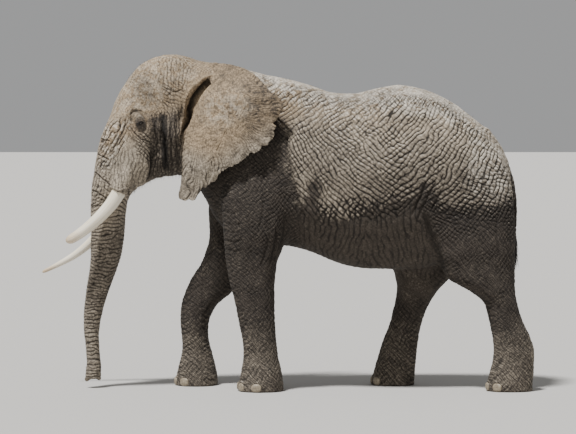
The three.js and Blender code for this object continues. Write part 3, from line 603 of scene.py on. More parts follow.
def side_view(p):
    """Column and row of points on the side view, seen from the camera's distance on their own side."""
    scale = VIEW_FOCAL / (VIEW_FAR - np.abs(p[:, 1]))
    return VIEW_COLUMN + p[:, 0] * scale, VIEW_ROW - (p[:, 2] - VIEW_HEIGHT) * scale


U, V = side_view(P)
X, Y, Z = P.T
N = read_normals(skin)
sideways = smooth(0.15, 0.55, np.abs(N[:, 1]))


def to_path(u, v, path):
    """Distance from a broken line, its side (positive to the left of its way) and how far along, from 0 to 1."""
    best, sign, along = np.full(len(u), 1e9), np.zeros(len(u)), np.zeros(len(u))
    steps = len(path) - 1
    for k, ((u0, v0), (u1, v1)) in enumerate(zip(path[:-1], path[1:])):
        du, dv = u1 - u0, v1 - v0
        t = np.clip(((u - u0) * du + (v - v0) * dv) / (du * du + dv * dv), 0, 1)
        d = np.hypot(u - u0 - t * du, v - v0 - t * dv)
        closer = d < best
        best = np.where(closer, d, best)
        sign = np.where(closer, np.sign((v - v0) * du - (u - u0) * dv), sign)
        along = np.where(closer, (k + t) / steps, along)
    return best, sign, along


def about(places, room):
    """Whether each point lies in the box of some places on the side view, widened by room."""
    (u0, v0), (u1, v1) = np.min(places, axis=0) - room, np.max(places, axis=0) + room
    return (U > u0) & (U < u1) & (V > v0) & (V < v1)


def read_rows(text, count):
    """Rows of a table: so many numbers, and the places after them as text."""
    for row in text.strip().split("\n"):
        *numbers, places = row.split(None, count)
        yield [float(n) for n in numbers], places


def inside(polygon, feather, ragged=0.0, sway=0.0):
    """1 inside a polygon of the side view, fading to 0 across its edge over feather columns on each side."""
    out = np.zeros(len(U))
    loop = spots(polygon)
    near = about(loop, feather + 1.2 * ragged + sway)
    u, v = U[near] + ragged * RAGGED[near, 0], V[near] + ragged * RAGGED[near, 1] + sway * SWAY[near]
    loop.append(loop[0])
    crossings = np.zeros(len(u), int)
    for (u0, v0), (u1, v1) in zip(loop[:-1], loop[1:]):
        if v0 == v1:
            continue
        crossings += ((v0 > v) != (v1 > v)) & (u < (u1 - u0) * (v - v0) / (v1 - v0) + u0)
    distance = to_path(u, v, loop)[0]
    out[near] = smooth(-feather, feather, np.where(crossings % 2 == 1, distance, -distance))
    return out


RAGGED = np.stack([noise(P, 70, 81) + 0.5 * noise(P, 26, 82), noise(P, 70, 83) + 0.5 * noise(P, 26, 84)], axis=1)
SWAY = noise(P, 330, 85)
wander = 0.42 * noise(P, 240, 1) + 0.26 * noise(P, 95, 2) + 0.10 * noise(P, 42, 3)
wander2 = 0.5 * noise(P, 260, 6) + 0.3 * noise(P, 100, 7) + 0.10 * noise(P, 45, 8)
breaks = [0.5 + 0.75 * noise(P * [1, 0.6, 1], 120, seed) for seed in (31, 32, 33, 34)]
crease = np.zeros(len(P))
height = np.zeros(len(P))
skin_only = 1 - ear


def forks(p, scale, seed):
    """A turn from 0 to 1 round scattered points: added to a phase, it makes folds join and part there."""
    return np.arctan2(noise(p, scale, seed), noise(p, scale, seed + 0.5)) / (2 * math.pi)


def add_folds(phase, weight, depth, fork, keen=0.55, ink=1.0, gap=0, fade=0.5):
    """Folds along whole values of phase, joining and parting at forks and fading in and out along their length.

    weight says where they lie, depth is in millimetres and fork is the size and seed of the forks. A low keen
    makes narrow folds, ink paints shade into them, and gap and fade choose where and how far they fade.
    """
    global crease, height
    on = np.flatnonzero(weight > 0.01)
    w = weight[on] * np.clip(1 - fade + 1.4 * fade * breaks[gap][on], 0, 1)
    v = 1 - np.abs(np.sin(math.pi * (phase[on] + forks(P[on], *fork)))) ** keen
    height[on] -= depth * w * v
    mark = np.clip(ink * w * smooth(0.10, 0.58, v), 0, 1)
    crease[on] = crease[on] + mark - 0.75 * crease[on] * mark


def add_net(a, b, sway, weight, depth, size, seed, keen, ink, fade):
    """Two families of folds that cross, along whole values of a and b."""
    add_folds(a + sway * wander, weight, depth, (size, seed), keen, ink, 0, fade)
    add_folds(b + sway * wander2, weight, depth, (size, seed + 1), keen, ink, 1, fade)


TORSO_SIDE = ("262,60 300,76 345,88 400,82 450,92 520,140 520,212 492,222 455,220 430,206 405,210 380,222 "
              "330,222 303,216 292,165 288,140 294,133 262,105")
flank = inside(TORSO_SIDE, 8, 3) * skin_only * sideways
hip_top = inside("335,70 470,70 500,118 455,112 400,104 335,108", 9, 4)
flank *= 1 - 0.55 * hip_top
u, v = np.clip((U - 400) / 100, -1.4, 1.15), np.clip((V - 160) / 100, -0.75, 0.62)
# The phases of the folds: a row for each power of u, with a number for each power of v.
FOLDS_A = rows("0 14.4 -0.68 0.89; 12.93 -3.65 2.43 0; 2.6 -3.19 0 0; 1.49 0 0 0")
FOLDS_B = rows("0 17.44 -0.47 0.14; -12.74 2.64 0.78 0; 2.46 -1.11 0 0; -1.46 0 0 0")
THIGH_FOLDS = rows("0 -23.62 -1.07; 8.12 -0.09 0; -5.21 0 0")
lines_a = polyval2d(u, v, FOLDS_A) + wander
lines_b = polyval2d(u, v, FOLDS_B) + 0.9 * wander2
rear = smooth(368, 404, U + 7 * breaks[3]) + 0.8 * smooth(150, 125, V)
front = smooth(432, 392, U + 7 * breaks[3]) * smooth(110, 138, V)
add_folds(lines_a, flank * np.clip(rear, 0, 1), 13.5, (150, 61), 0.5, 1.0, 0, 0.35)
add_folds(lines_b, flank * np.clip(front, 0, 1), 13.5, (150, 62), 0.5, 1.0, 1, 0.35)
add_folds(lines_b * 1.15 + 0.3, flank * smooth(0.5, 1.0, rear) * (1 - front), 5.0, (150, 62), 0.6, 0.6, 2, 0.9)
add_folds(lines_a * 1.15 + 0.3, flank * smooth(0.5, 1.0, front) * (1 - np.clip(rear, 0, 1)), 5.0, (150, 61),
          0.6, 0.6, 3, 0.9)
u2, v2 = np.clip((U - 470) / 100, -0.6, 0.6), np.clip((V - 205) / 100, -0.5, 0.4)
thigh_band = inside("425,186 470,172 520,160 520,226 470,236 430,230 418,205", 9, 3)
lines_d = polyval2d(u2, v2, THIGH_FOLDS) + wander2
add_folds(lines_d, thigh_band * skin_only, 7.5, (140, 63), 0.55, 0.9, 2, 0.6)
rough_top = skin_only * smooth(0.2, 0.75, N[:, 2]) * smooth(-1500, -900, X)
add_net((X + 0.8 * Y) / 34, (X - 0.8 * Y) / 34, 1.5, rough_top, 3.5, 110, 64, 0.7, 0.55, 0.8)
on_hip = hip_top * skin_only * sideways
add_net((U + 0.7 * V) / 2.6, (U - 0.7 * V) / 2.6, 1, on_hip, 3.0, 70, 57, 0.7, 0.5, 0.9)

LOW_BODY = ("196,150 262,112 276,116 293,133 288,139 290,160 297,191 303,208 330,213 380,212 405,200 425,197 "
            "450,208 480,212 530,196 540,440 150,440 150,300 180,200")
low_body = inside(LOW_BODY, 6) * skin_only
legs_and_low = np.clip(low_body - 0.85 * inside("300,205 425,205 440,300 300,300", 10), 0, 1)
lean = np.sign(X + 900) * 0.4 * np.abs(Y)
across, rise = (X - lean + Z) / 1.414, (X - lean - Z) / 1.414
shoulder = inside("196,150 262,112 290,150 297,200 285,262 215,262 200,210", 12, 4)
add_net(across / 38, rise / 38, 1.1, legs_and_low, 5.5, 120, 66, 0.6, 0.7, 0.8)
add_folds((0.34 * U + 0.94 * V) / 3.6 + wander, shoulder * skin_only, 3.5, (90, 55), 0.55, 0.6, 2, 0.7)
streaks = inside("298,195 420,200 440,280 300,275", 8) * skin_only
add_folds((U + 0.22 * (V - 230) * np.sign(365 - U)) / 6 + wander, streaks, 7.0, (160, 68), 0.55, 0.8, 3, 0.7)

trunk = smooth(2120, 1960, Z) * smooth(-1440, -1560, X)
around = np.arctan2(Y, X + 1901)
rings = Z / 37 + 0.55 * np.sin(1.7 * around + Z / 300) + 1.2 * wander
add_folds(rings, trunk, 8.5, (110, 69), 0.5, 1.0, 1, 0.3)
brow_front = smooth(0.5, 0.2, np.abs(N[:, 1])) * smooth(-1500, -1650, X)
brow_front *= smooth(2960, 2650, Z) * smooth(1960, 2120, Z)
bowed = Z / 41 + 0.9 * (Y / 200) ** 2 + 1.3 * wander
add_folds(bowed, brow_front, 5.5, (130, 59), 0.55, 0.7, 2, 0.6)

# The head: families of folds. Each row: the way of its lines in degrees from level, their spacing in columns,
# depth, the painted shade in the folds, share of cross folds, and the patch of the side view that they cover.
HEAD_FOLDS = """
84 3.3 4.5 0.75 0.2  156,58 178,56 194,66 184,92 168,96 156,80
88 3.3 9.5 1.0 0.12  150,114 184,106 184,184 148,184 152,150
155 3.2 5.0 0.8 0.4  160,82 182,80 188,104 164,110
138 2.9 7.5 1.0 0.6  126,126 134,128 150,132 158,150 152,164 138,152
57 4.3 10.0 1.0 0.35  98,118 130,118 128,138 116,165 98,170
66 3.3 5.5 0.8 0.7  86,128 106,132 112,170 108,205 80,206
82 3.9 5.0 0.7 0.25  112,150 152,150 148,190 110,198
62 3.0 2.4 0.3 0.9  106,70 150,58 158,100 120,116 104,110
120 2.8 3.0 0.5 0.6  150,94 186,104 184,118 150,118"""
for index, ((angle, spacing, depth, ink, cross), patch) in enumerate(read_rows(HEAD_FOLDS, 5)):
    turn = math.radians(angle)
    w = inside(patch, 4, 2) * skin_only * smooth(0.12, 0.42, np.abs(N[:, 1]))
    phase = (U * math.sin(turn) + V * math.cos(turn)) / spacing + 0.8 * wander
    add_folds(phase, w, depth, (85, 70 + index), 0.5, ink, index % 4, 0.45)
    other = (U * math.cos(turn) - V * math.sin(turn)) / (1.1 * spacing) + 0.8 * wander2
    add_folds(other, cross * w, depth, (70, 90 + index), 0.6, ink, (index + 1) % 4, 0.8)

# Single folds: depth and half width in millimetres (a depth below 0 raises a ridge), the painted shade in
# the fold, and its line on the side view.
STROKES = """
30 13 1.0  161,117 162,124 161,131 163,140 165,150 167,166
22 20 1.0  161,132 163,137 164.5,143
12 10 0.6  155,118 156,140 154,158
13 10 0.8  172,116 171,140 173,172
12 10 0.7  177,112 177,135 179,176
-9 16 0  168.5,126 169,150 170,172
-11 18 0  154,160 157,156 162,157 163,162
34 17 1.0  151,142 152,160 151,172 147,182 144,189
17 19 0.75  130,115.5 133,112 138,111.5 143,114
8 10 0.6  131.5,112 131,117 132,123
7 8 0.6  136,134 141,137 147,136.5 152,133
5 7 0.5  150,120 154,120 158,122
5 7 0.5  150,126 155,127 159,131
-12 12 0  110,199 114,194 118,191 126,188.5 134,189.5 141,189
12 7 0.8  127,186.5 129,191 129,196
6 9 0.5  120,150 121,165 119,182
7 9 0.6  131,158 133,172 132,185
6 10 0.5  140,150 143,165 141,180
10 9 0.9  130,127 134,133 141,139 150,142 154,150
7 8 0.7  126,130 132,138 139,145 148,150
-17 15 0  222,71 211,75.5 200,81 192,88 186.5,96 184,106 182.5,118 180,130
78 30 1.0  219,76 209,82 200,90 194,99 190.5,109 188,120 184,132 181,144
12 10 0.8  162,86 169,90 176,92 184,89
9 9 0.7  166,97 172,93 178,92
8 7 0.8  183,100 181,112 179,126
12 11 1.0  126,120 123,130 117,142 108,156
9 9 0.9  121,124 116,136 108,148
13 8 1.0  90,138 101,138.5 112,142
13 8 1.0  88,152 98,154 110,161
14 9 1.0  84,169 93,171 104,180 112,187
13 9 1.0  82,188 92,190 102,196 110,201
12 9 1.0  80,206 92,206 108,206
10 9 0.7  98,198 106,202 112,196 118,191
17 17 0.8  427,180 421,196 411,216
12 14 0.7  438,176 431,192 421,210 416,226
9 12 0.5  447,180 439,196 432,208
30 32 0.7  424,212 431,232 438,254 446,276
20 17 0.9  277,226 276,242 269,264
14 15 0.7  285,212 284,232 278,252
12 13 0.8  269,234 266,250 260,268
8 10 0.6  220,210 232,213 243,210
8 10 0.6  221,221 232,225 243,222
8 10 0.6  222,230 233,233 244,230
8 10 0.6  223,239 234,242 244,239
8 10 0.6  225,248 236,251 245,248
10 16 0.5  263,190 263,212 258,234
9 16 0.5  500,205 497,232 501,262"""
MM_A_COLUMN, LINE_STEPS = 10.3, 6
for (depth, width, ink), path in read_rows(STROKES, 3):
    near = about(spots(path), 12) & (np.abs(N[:, 1]) > 0.05) & (ear < 0.5)
    shift = 0.9 * RAGGED[near]
    d, _, along = to_path(U[near] + shift[:, 0], V[near] + shift[:, 1], smooth_line(spots(path), LINE_STEPS))
    ends = np.clip(np.minimum(along, 1 - along) * 5, 0, 1) ** 0.6
    d = d * MM_A_COLUMN / (width * (0.55 + 0.45 * ends))
    height[near] -= depth * ends * (hill(d) - 0.22 * hill(d / 2.3))
    crease[near] = np.maximum(crease[near], ink * ends * hill(1.05 * d))

# The edge of the flank's skin stands proud behind the shoulder.
EDGE_PROUD = 15
EDGE = "262,104 276,116 293,133 288,139 290,160 297,191 305,214"
near = (U > 255) & (U < 330) & (V > 100) & (V < 220) & (ear < 0.5) & (np.abs(N[:, 1]) > 0.2)
d, which, _ = to_path(U[near] + 0.8 * wander[near], V[near], smooth_line(spots(EDGE), LINE_STEPS))
height[near] += EDGE_PROUD * np.where(which < 0, np.exp(-d / 9), -0.9 * hill(d / 2.5))

# Ears: veins and wandering wrinkles that run out from the root, and soft lumps.
from_root = np.hypot(U - 205, V - 105)
angle = np.arctan2(V - 105, U - 205)
to_rim = smooth(25, 75, from_root)
on_ear = np.flatnonzero(ear > 0.01)
spot = np.stack([angle * 9, from_root / 26, np.sign(Y)], axis=1)
height[on_ear] += (ear * (1.5 + 5 * to_rim))[on_ear] * noise(spot[on_ear], 1.0, 47)
add_folds(angle * 24 + 1.5 * noise(P, 150, 41), ear * to_rim, 8.5, (110, 45), 0.55, 0.9, 2, 0.95)
add_folds(from_root / 3.4 + 2.2 * noise(P, 130, 42), 0.7 * ear, 3.0, (80, 46), 0.7, 0.45, 3, 0.95)
height += ear * (4.5 * noise(P, 60, 43) + 2.2 * noise(P, 24, 44))

# The tip of the trunk: two nostrils between a pointed front finger and a broad back one, and lobes on the jaw.
NOSTRIL_DEPTH = 44
tip_end = np.flatnonzero((Z < 170) & (X < -1850) & (N[:, 2] < -0.2))
dx, dy, down = X[tip_end] + 2029, np.abs(Y[tip_end]), smooth(-0.2, -0.7, N[tip_end, 2])
nostril = np.exp(-((dx / 22) ** 2 + ((dy - 27) / 15) ** 2) ** 1.5)
height[tip_end] -= NOSTRIL_DEPTH * nostril * down
height[tip_end] += down * (34 * hill((dx + 62) / 20, dy / 26) + 20 * hill((dx - 60) / 20, dy / 42))
# Painted shade in the nostrils.
crease[tip_end] = np.maximum(crease[tip_end], nostril)
under_jaw = smooth(-0.1, -0.6, N[:, 2]) * smooth(-1640, -1560, X) * smooth(-1040, -1140, X) * (Z > 1900) * (Z < 2400)
height += under_jaw * (9 * noise(P, 62, 96) + 4 * noise(P, 30, 97))

# A low wall of skin stands round each toenail, with painted shade in the groove at the nail's edge.
FORE_Y, HIND_Y = 310, 315  # from the middle plane to the middle of a foot
NAIL_HALF, NAIL_Z = (22, 54, 42), 47  # depth, width and height from the middle, and the middle's height
FEET = [  # foot, its middle from above, half sizes of the sole and the nails' angles from straight ahead
    ("forefoot_left", (-276, -FORE_Y), (232, 220), (-78, -30, 12, 56)),
    ("forefoot_right", (-962, FORE_Y), (220, 220), (-56, -12, 30, 78)),
    ("hindfoot_left", (2285, -HIND_Y), (233, 182), (-52, -8, 36)),
    ("hindfoot_right", (1112, HIND_Y), (222, 182), (-36, 8, 52)),
]


def nail_places(middle, half, angles):
    """The middle of each nail from above and the way it is turned."""
    for angle in np.radians(angles):
        ahead, aside = -math.cos(angle) * half[0], math.sin(angle) * half[1]
        yield (middle[0] + ahead, middle[1] + aside), math.atan2(aside / half[1], ahead / half[0])


low_points = np.flatnonzero(Z < 140)
for foot, middle, half, angles in FEET:
    for place, turn in nail_places(middle, half, angles):
        dx, dy = X[low_points] - place[0], Y[low_points] - place[1]
        sideways_off = -dx * math.sin(turn) + dy * math.cos(turn)
        depth_off = dx * math.cos(turn) + dy * math.sin(turn)
        reach = np.hypot(sideways_off / NAIL_HALF[1], (Z[low_points] - NAIL_Z) / NAIL_HALF[2])
        near = np.abs(depth_off) < 70
        height[low_points] += near * (9 * hill((reach - 1.16) / 0.16) - 5 * hill((reach / 0.9) ** 2))
        crease[low_points] = np.maximum(crease[low_points], near * 0.8 * hill((reach - 0.98) / 0.07))

height += skin_only * (5.0 * noise(P, 210, 51) + 2.6 * noise(P, 75, 52))
height += 1.3 * noise(P, 19, 53)
sole = smooth(0, 40, Z)
eye_distance = np.hypot(X - EYE[0], Z - EYE[2])
calm = sole * smooth(42, 66, np.hypot(X - EYE[0], (Z - EYE[2]) / 1.5))
P = P + N * (height * calm)[:, None]
P[:, 2] = np.maximum(P[:, 2], 0)

# Eyelids: a tall dome of skin over the eye, open along an almond through which the ball shows. On the tilted
# lids, a runs back along the opening and b up across it.
EYE_Y, LID, SOCKET = 339.0, 33.0, 20.5
DOME, DOME_TALL = 75.0, 1.75
LID_HALF, LID_HIGH, LID_LOW = 29.0, 15.0, 11.5
TILT = math.radians(-14)
lid_edge, lid_light, lid_shade = np.zeros((3, len(P)))


def pleat_wave(near, dome):
    return np.sin(dome / 1.5 + 1.2 * noise(P[near], 30, 21))


for hand in (-1, 1):
    near = np.flatnonzero((eye_distance < 150) & (hand * Y > 200))
    a, b = X[near] - EYE[0], Z[near] - EYE[2]
    a, b = a * math.cos(TILT) - b * math.sin(TILT), a * math.sin(TILT) + b * math.cos(TILT)
    rho2 = a * a + b * b
    dome = np.hypot(a, b / DOME_TALL)
    skin_y = hand * P[near, 1]
    lid = EYE_Y + LID - DOME + np.sqrt(np.maximum(DOME ** 2 - dome ** 2, 0)) - np.maximum(dome - DOME, 0)
    pleats = smooth(52, 40, dome) * smooth(20, 27, dome)
    lid = lid + 1.3 * pleats * pleat_wave(near, dome)
    raised = -join(-skin_y, -lid, 9)
    high = np.where(b > 0, LID_HIGH, LID_LOW) * np.maximum(1 - (a / LID_HALF) ** 2, 0) ** 0.75
    raised = raised + 2.6 * hill((np.abs(b) - high - 4) / 4.5) * smooth(34, 27, np.abs(a))
    gap = smooth(1.5, -1.5, np.abs(b) - high) * (np.abs(a) < LID_HALF)
    socket = EYE_Y + np.sqrt(np.maximum(SOCKET ** 2 - rho2, 0)) - 1.0
    P[near, 1] = hand * (raised * (1 - gap) + np.minimum(socket, raised) * gap)
    # lid_light paints a highlight along the top of each lid dome, lid_shade paints shade over the dome, and the
    # crease lines at the lid margins and pleats are painted shade.
    up, down = smooth(-8, 22, b), smooth(4, -24, b)
    edge_line = 0.35 * hill((dome - 55) / 4.5) * up + 0.5 * hill((dome - 53) / 4.0) * down
    fold_line = 0.35 * pleats * (pleat_wave(near, dome) < -0.3)
    crease[near] = np.maximum(crease[near] * smooth(44, 56, dome), np.maximum(edge_line, fold_line))
    margin = smooth(13, 2, np.abs(b) - high) * smooth(44, 30, np.abs(a))
    corner = hill((a + 38) / 15, (b + 10) / 22)
    under = 0.12 * smooth(50, 36, dome) * smooth(0, -12, b)
    lid_edge[near] = np.clip(0.95 * margin + 0.7 * corner + under, 0, 1)
    lid_light[near] = 0.25 * hill((dome - 45) / 2.6) * smooth(12, 44, b)
    lid_shade[near] = smooth(62, 38, dome) * (0.60 + 0.28 * smooth(40, 6, b) - 0.22 * smooth(-30, -62, b))
write_points(skin, P)

# ------------------------------------------------------------------ what the skin's colours follow

def patches(table):
    """The sum of some patches of the side view. Each row: amount, feather, raggedness and the patch."""
    return sum(amount * inside(patch, feather, ragged) for (amount, feather, ragged), patch in read_rows(table, 3))


# Patches on the skin: painted shadow behind the cheek pad, painted shade on the lower flank and thigh and behind the
# shoulder, and a darker patch above the eye.
DUST_AND_SHADE_ON_SKIN = """
-0.62 6 0  152,116 180,112 184,180 146,184 150,150
-0.30 24 8  350,196 380,162 420,146 470,160 522,188 522,230 350,230
-0.24 12 4  300,120 340,120 360,150 356,188 322,196 298,160
-0.22 9 3  126,72 156,70 154,100 130,102"""
DUST_ON_EARS = """
-0.32 12 4  196,58 270,72 276,96 240,92 212,84
-0.30 10 4  250,88 290,92 284,112 262,140 240,150 244,112
-0.02 16 5  176,140 240,150 215,190 176,206"""
PALE = """
1 9 0  372,84 410,86 462,96 486,118 455,120 410,112 372,104
0.8 7 0  280,76 320,82 330,100 300,104 280,92
0.6 10 0  470,128 512,150 512,196 470,196"""
ELBOW_WEDGE = "307,180 317,178 321,188 318,204 321,216 326,234 286,234 292,206 307,202"
EYE_SHADE = "129,112 134,108 142,110 150,114 158,118 156,130 146,136 134,132 129,122"
CREAM = "366,82 410,84 466,96 490,120 455,122 410,114 366,106"
TAN = "90,40 300,40 300,110 276,125 215,160 182,150 176,110 100,160"

N2 = read_normals(skin)
up = N2[:, 2]
mottle = 0.5 + 0.5 * noise(P, 260, 61) + 0.3 * noise(P, 80, 62)
on_back = smooth(-900, -550, X) * skin_only
on_trunk = smooth(-1450, -1600, X)
on_tail = smooth(2190, 2230, X) * smooth(70, 45, np.abs(Y)) * smooth(2330, 2230, Z)

# The dark lower half and the wedge behind the elbow: partly painted shade, partly damp darker skin.
# Its ragged edge follows the folds of the flank.
shade_and_damp_low = smooth(0.12, 0.88, inside(LOW_BODY, 20, 8, 9) + 0.55 * (crease - 0.3) * flank)
shade_and_damp_low = np.maximum(shade_and_damp_low, 0.9 * inside(ELBOW_WEDGE, 4, 4))

# Dust and painted shade: 1 on dusty skin, 0 on bare dark skin. Painted shade lowers it behind the cheek pad,
# on the lower flank and thigh, behind the shoulder, on the trunk's tip, round the eye and over the lids.
# It is also lower towards the bottom of the trunk.
dust = 0.86 + 0.16 * up - 0.86 * shade_and_damp_low * skin_only - 0.42 * smooth(1900, 1500, Z) * on_trunk
dust = (dust + 0.12 * (mottle - 0.5) + 0.10 * noise(P, 34, 63)) * (1 - on_tail)
dust += ear * (patches(DUST_ON_EARS) - 0.08 - 0.25 * np.clip(noise(P, 90, 48) + 0.5 * noise(P, 30, 49), -0.2, 1))
rub = np.clip(noise(P, 30, 92) + 0.6 * noise(P, 14, 93), -0.4, 1)
dust += skin_only * (patches(DUST_AND_SHADE_ON_SKIN) - 0.22 * hip_top) - 0.32 * rub * (1 - shade_and_damp_low)
dust += 0.16 * np.clip(noise(P, 130, 98) + 0.5 * noise(P, 45, 99), 0, 1) * shade_and_damp_low
dust += 0.24 * inside("125,148 146,152 147,184 123,183", 5) * skin_only * (1 - crease)
# More dust low on the legs; painted shade on the trunk's tip and on the lower flank.
dust += 0.28 * smooth(900, 300, Z) - 0.22 * smooth(520, 200, Z) * on_trunk - 0.12 * flank * smooth(120, 160, V)
dust = np.clip(dust - 0.38 * inside(EYE_SHADE, 5, 1), 0, 1) * (1 - lid_shade)

# Pale: chalky patches on the hips, the back, the ears and the face, and a painted highlight along the top of
# each upper lid.
pale = patches(PALE) + 0.7 * inside("205,98 240,92 252,108 225,126 204,120", 9) * ear
pale = pale * (1 - 0.6 * ear) + 0.7 * smooth(0.35, 0.85, up) * on_back
pale += 0.7 * inside("100,120 130,122 126,140 114,165 98,170", 6) * (1 - crease)
pale += 0.25 * inside("100,44 200,44 196,80 150,112 104,120 92,110", 8) * skin_only
pale *= smooth(0.1, 0.7, 0.5 + noise(P, 60, 64) + 0.8 * noise(P, 26, 65))
cream = inside(CREAM, 9, 4) * smooth(0.0, 0.3, noise(P, 72, 94) + 0.7 * noise(P, 27, 95)) * skin_only
pale += 0.8 * lid_light + 0.95 * cream + 0.30 * smooth(0.45, 0.95, up) * on_back

# Tan: brown instead of grey dust. Stain and shadow: the wet streak behind the eye, other near black marks,
# and the ear's shadow on the shoulder, painted behind the ear.
tan = inside(TAN, 14) + 0.9 * smooth(0.1, 0.8, up) * smooth(2300, 2900, Z) + 0.6 * hip_top * skin_only
ear_shadow = smooth(262, 276, U) * smooth(296, 284, U) * smooth(112, 120, V) * smooth(146, 136, V) * skin_only
stain_and_shadow = inside("160,114 166,114 169,168 163,170", 1.6) + 0.3 * inside("132,76 150,74 150,97 134,98", 6)
stain_and_shadow += 0.8 * lid_edge + 0.4 * ear_shadow
hatch = np.clip(0.25 + 0.75 * legs_and_low + 0.35 * thigh_band - 0.1 * flank, 0, 1) * skin_only * sole
for name, values in (("dust", dust), ("pale", pale), ("tan", tan), ("stain_and_shadow", stain_and_shadow), ("crease", crease),
                     ("hatch", hatch)):
    attribute(skin, name, np.clip(values, 0, 1))
attribute(skin, "hatch_a", across / 21 + 2.6 * wander)
attribute(skin, "hatch_b", rise / 25 + 2.6 * wander2)
skin.shade_smooth()


# ------------------------------------------------------------------ materials

def srgb(code):
    parts = [(code >> shift & 255) / 255 for shift in (16, 8, 0)]
    return (*(c / 12.92 if c <= 0.04045 else ((c + 0.055) / 1.055) ** 2.4 for c in parts), 1.0)


class Nodes:
    """Short hand for building one node material. A whole number put into a colour is its sRGB code."""

    def __init__(self, name):
        self.material = bpy.data.materials.new(name)
        self.material.use_nodes = True
        self.tree = self.material.node_tree
        self.shader = self.tree.nodes["Principled BSDF"]

    def add(self, kind, inputs=None, **settings):
        node = self.tree.nodes.new(kind)
        for key, value in settings.items():
            setattr(node, key, value)
        for key, value in (inputs or {}).items():
            self.put(node.inputs[key], value)
        return node

    def put(self, socket, value):
        if isinstance(value, bpy.types.NodeSocket):
            self.tree.links.new(value, socket)
        else:
            socket.default_value = srgb(value) if socket.type == "RGBA" and isinstance(value, int) else value

    def math(self, operation, a, b=0.0):
        return self.add("ShaderNodeMath", {0: a, 1: b}, operation=operation).outputs[0]

    def plus(self, a, b):
        return self.math("ADD", a, b)

    def minus(self, a, b):
        return self.math("SUBTRACT", a, b)

    def times(self, a, b):
        return self.math("MULTIPLY", a, b)

    def stretch(self, value, low, high, start=0.0, end=1.0):
        """start where the value is low, end where it is high, held beyond them."""
        limits = {"From Min": low, "From Max": high, "To Min": start, "To Max": end}
        return self.add("ShaderNodeMapRange", {"Value": value, **limits}).outputs["Result"]

    def mix(self, factor, a, b, blend="MIX"):
        return self.add("ShaderNodeMix", {0: factor, 6: a, 7: b}, data_type="RGBA", blend_type=blend).outputs[2]

    def value(self, name):
        return self.add("ShaderNodeAttribute", attribute_name=name).outputs["Fac"]

    def place(self):
        return self.add("ShaderNodeTexCoord").outputs["Object"]

    def noise(self, scale, detail=4.0, rough=0.55, vector=None):
        inputs = {"Scale": scale, "Detail": detail, "Roughness": rough, "Vector": vector or self.place()}
        return self.add("ShaderNodeTexNoise", inputs).outputs["Fac"]

    def ramp(self, factor, stops):
        node = self.add("ShaderNodeValToRGB", {"Fac": factor})
        elements = node.color_ramp.elements
        while len(elements) < len(stops):
            elements.new(0.5)
        for element, (spot, code) in zip(elements, stops):
            element.position, element.color = spot, srgb(code)
        return node.outputs["Color"]

    def bump(self, height, strength, distance):
        inputs = {"Strength": strength, "Distance": distance, "Height": height}
        return self.add("ShaderNodeBump", inputs).outputs["Normal"]

    def done(self, **inputs):
        """The material, once its shader has these inputs; _ stands for a space in their names."""
        for name, value in inputs.items():
            self.put(self.shader.inputs[name.replace("_", " ")], value)
        return self.material


def skin_material():
    m = Nodes("skin")
    place = m.place()
    grain, grit = m.noise(55.0, 5.0, 0.7, place), m.noise(120.0, 3.0, 0.6, place)
    blotch = m.noise(14.0, 4.0, 0.6, place)
    swirl = m.add("ShaderNodeTexNoise", {"Scale": 30.0, "Vector": place}).outputs["Color"]
    bent = m.add("ShaderNodeMix", {"Factor": 0.035, 4: place, 5: swirl}, data_type="VECTOR").outputs[1]
    cells = m.add("ShaderNodeTexVoronoi", {"Scale": 82.0, "Randomness": 1.0, "Vector": bent},
                  feature="DISTANCE_TO_EDGE")
    crack = m.stretch(cells.outputs["Distance"], 0.0, 0.2)
    lines = []
    for name in ("hatch_a", "hatch_b"):
        phase = m.plus(m.value(name), m.times(blotch, 1.3))
        wave = m.math("ABSOLUTE", m.math("SINE", m.times(phase, math.pi)))
        lines.append(m.minus(1.0, m.math("POWER", wave, 0.6)))
    second = m.times(lines[1], m.stretch(m.noise(5.0, 3.0, 0.6, place), 0.36, 0.62))
    net = m.times(m.math("MAXIMUM", lines[0], second), m.value("hatch"))

    dusty = m.mix(m.value("tan"), m.mix(blotch, 0x978b7b, 0xc7baa6), m.mix(blotch, 0x8f7c63, 0xc0a98b))
    ragged = m.plus(m.value("dust"), m.times(m.minus(grain, 0.5), 0.9))
    base = m.mix(m.stretch(ragged, 0.08, 0.92), m.mix(blotch, 0x312b27, 0x60574d), dusty)
    base = m.mix(m.times(m.value("pale"), 0.85), base, 0xefe6d6)
    base = m.mix(1.0, base, m.stretch(grain, 0.35, 0.65, 0.60, 1.34), "MULTIPLY")
    # Painted shade darkens the cracks, the hatch lines and the folds; the last mark is the stains and the ear's
    # painted shadow.
    for mark, share, code in ((m.minus(1.0, crack), 0.22, 0x2c2723), (net, 0.7, 0x1d1916),
                              (m.value("crease"), 0.94, 0x191512), (m.value("stain_and_shadow"), 0.9, 0x14110f)):
        base = m.mix(m.times(mark, share), base, code)
    fine = m.minus(m.plus(m.times(crack, 0.36), m.times(grain, 1.1)), m.times(net, 1.3))
    fine = m.plus(fine, m.times(grit, 0.3))
    return m.done(Base_Color=base, Roughness=m.stretch(grain, 0.0, 1.0, 0.68, 0.95), Specular_IOR_Level=0.3,
                  Normal=m.bump(fine, 0.7, 0.006))


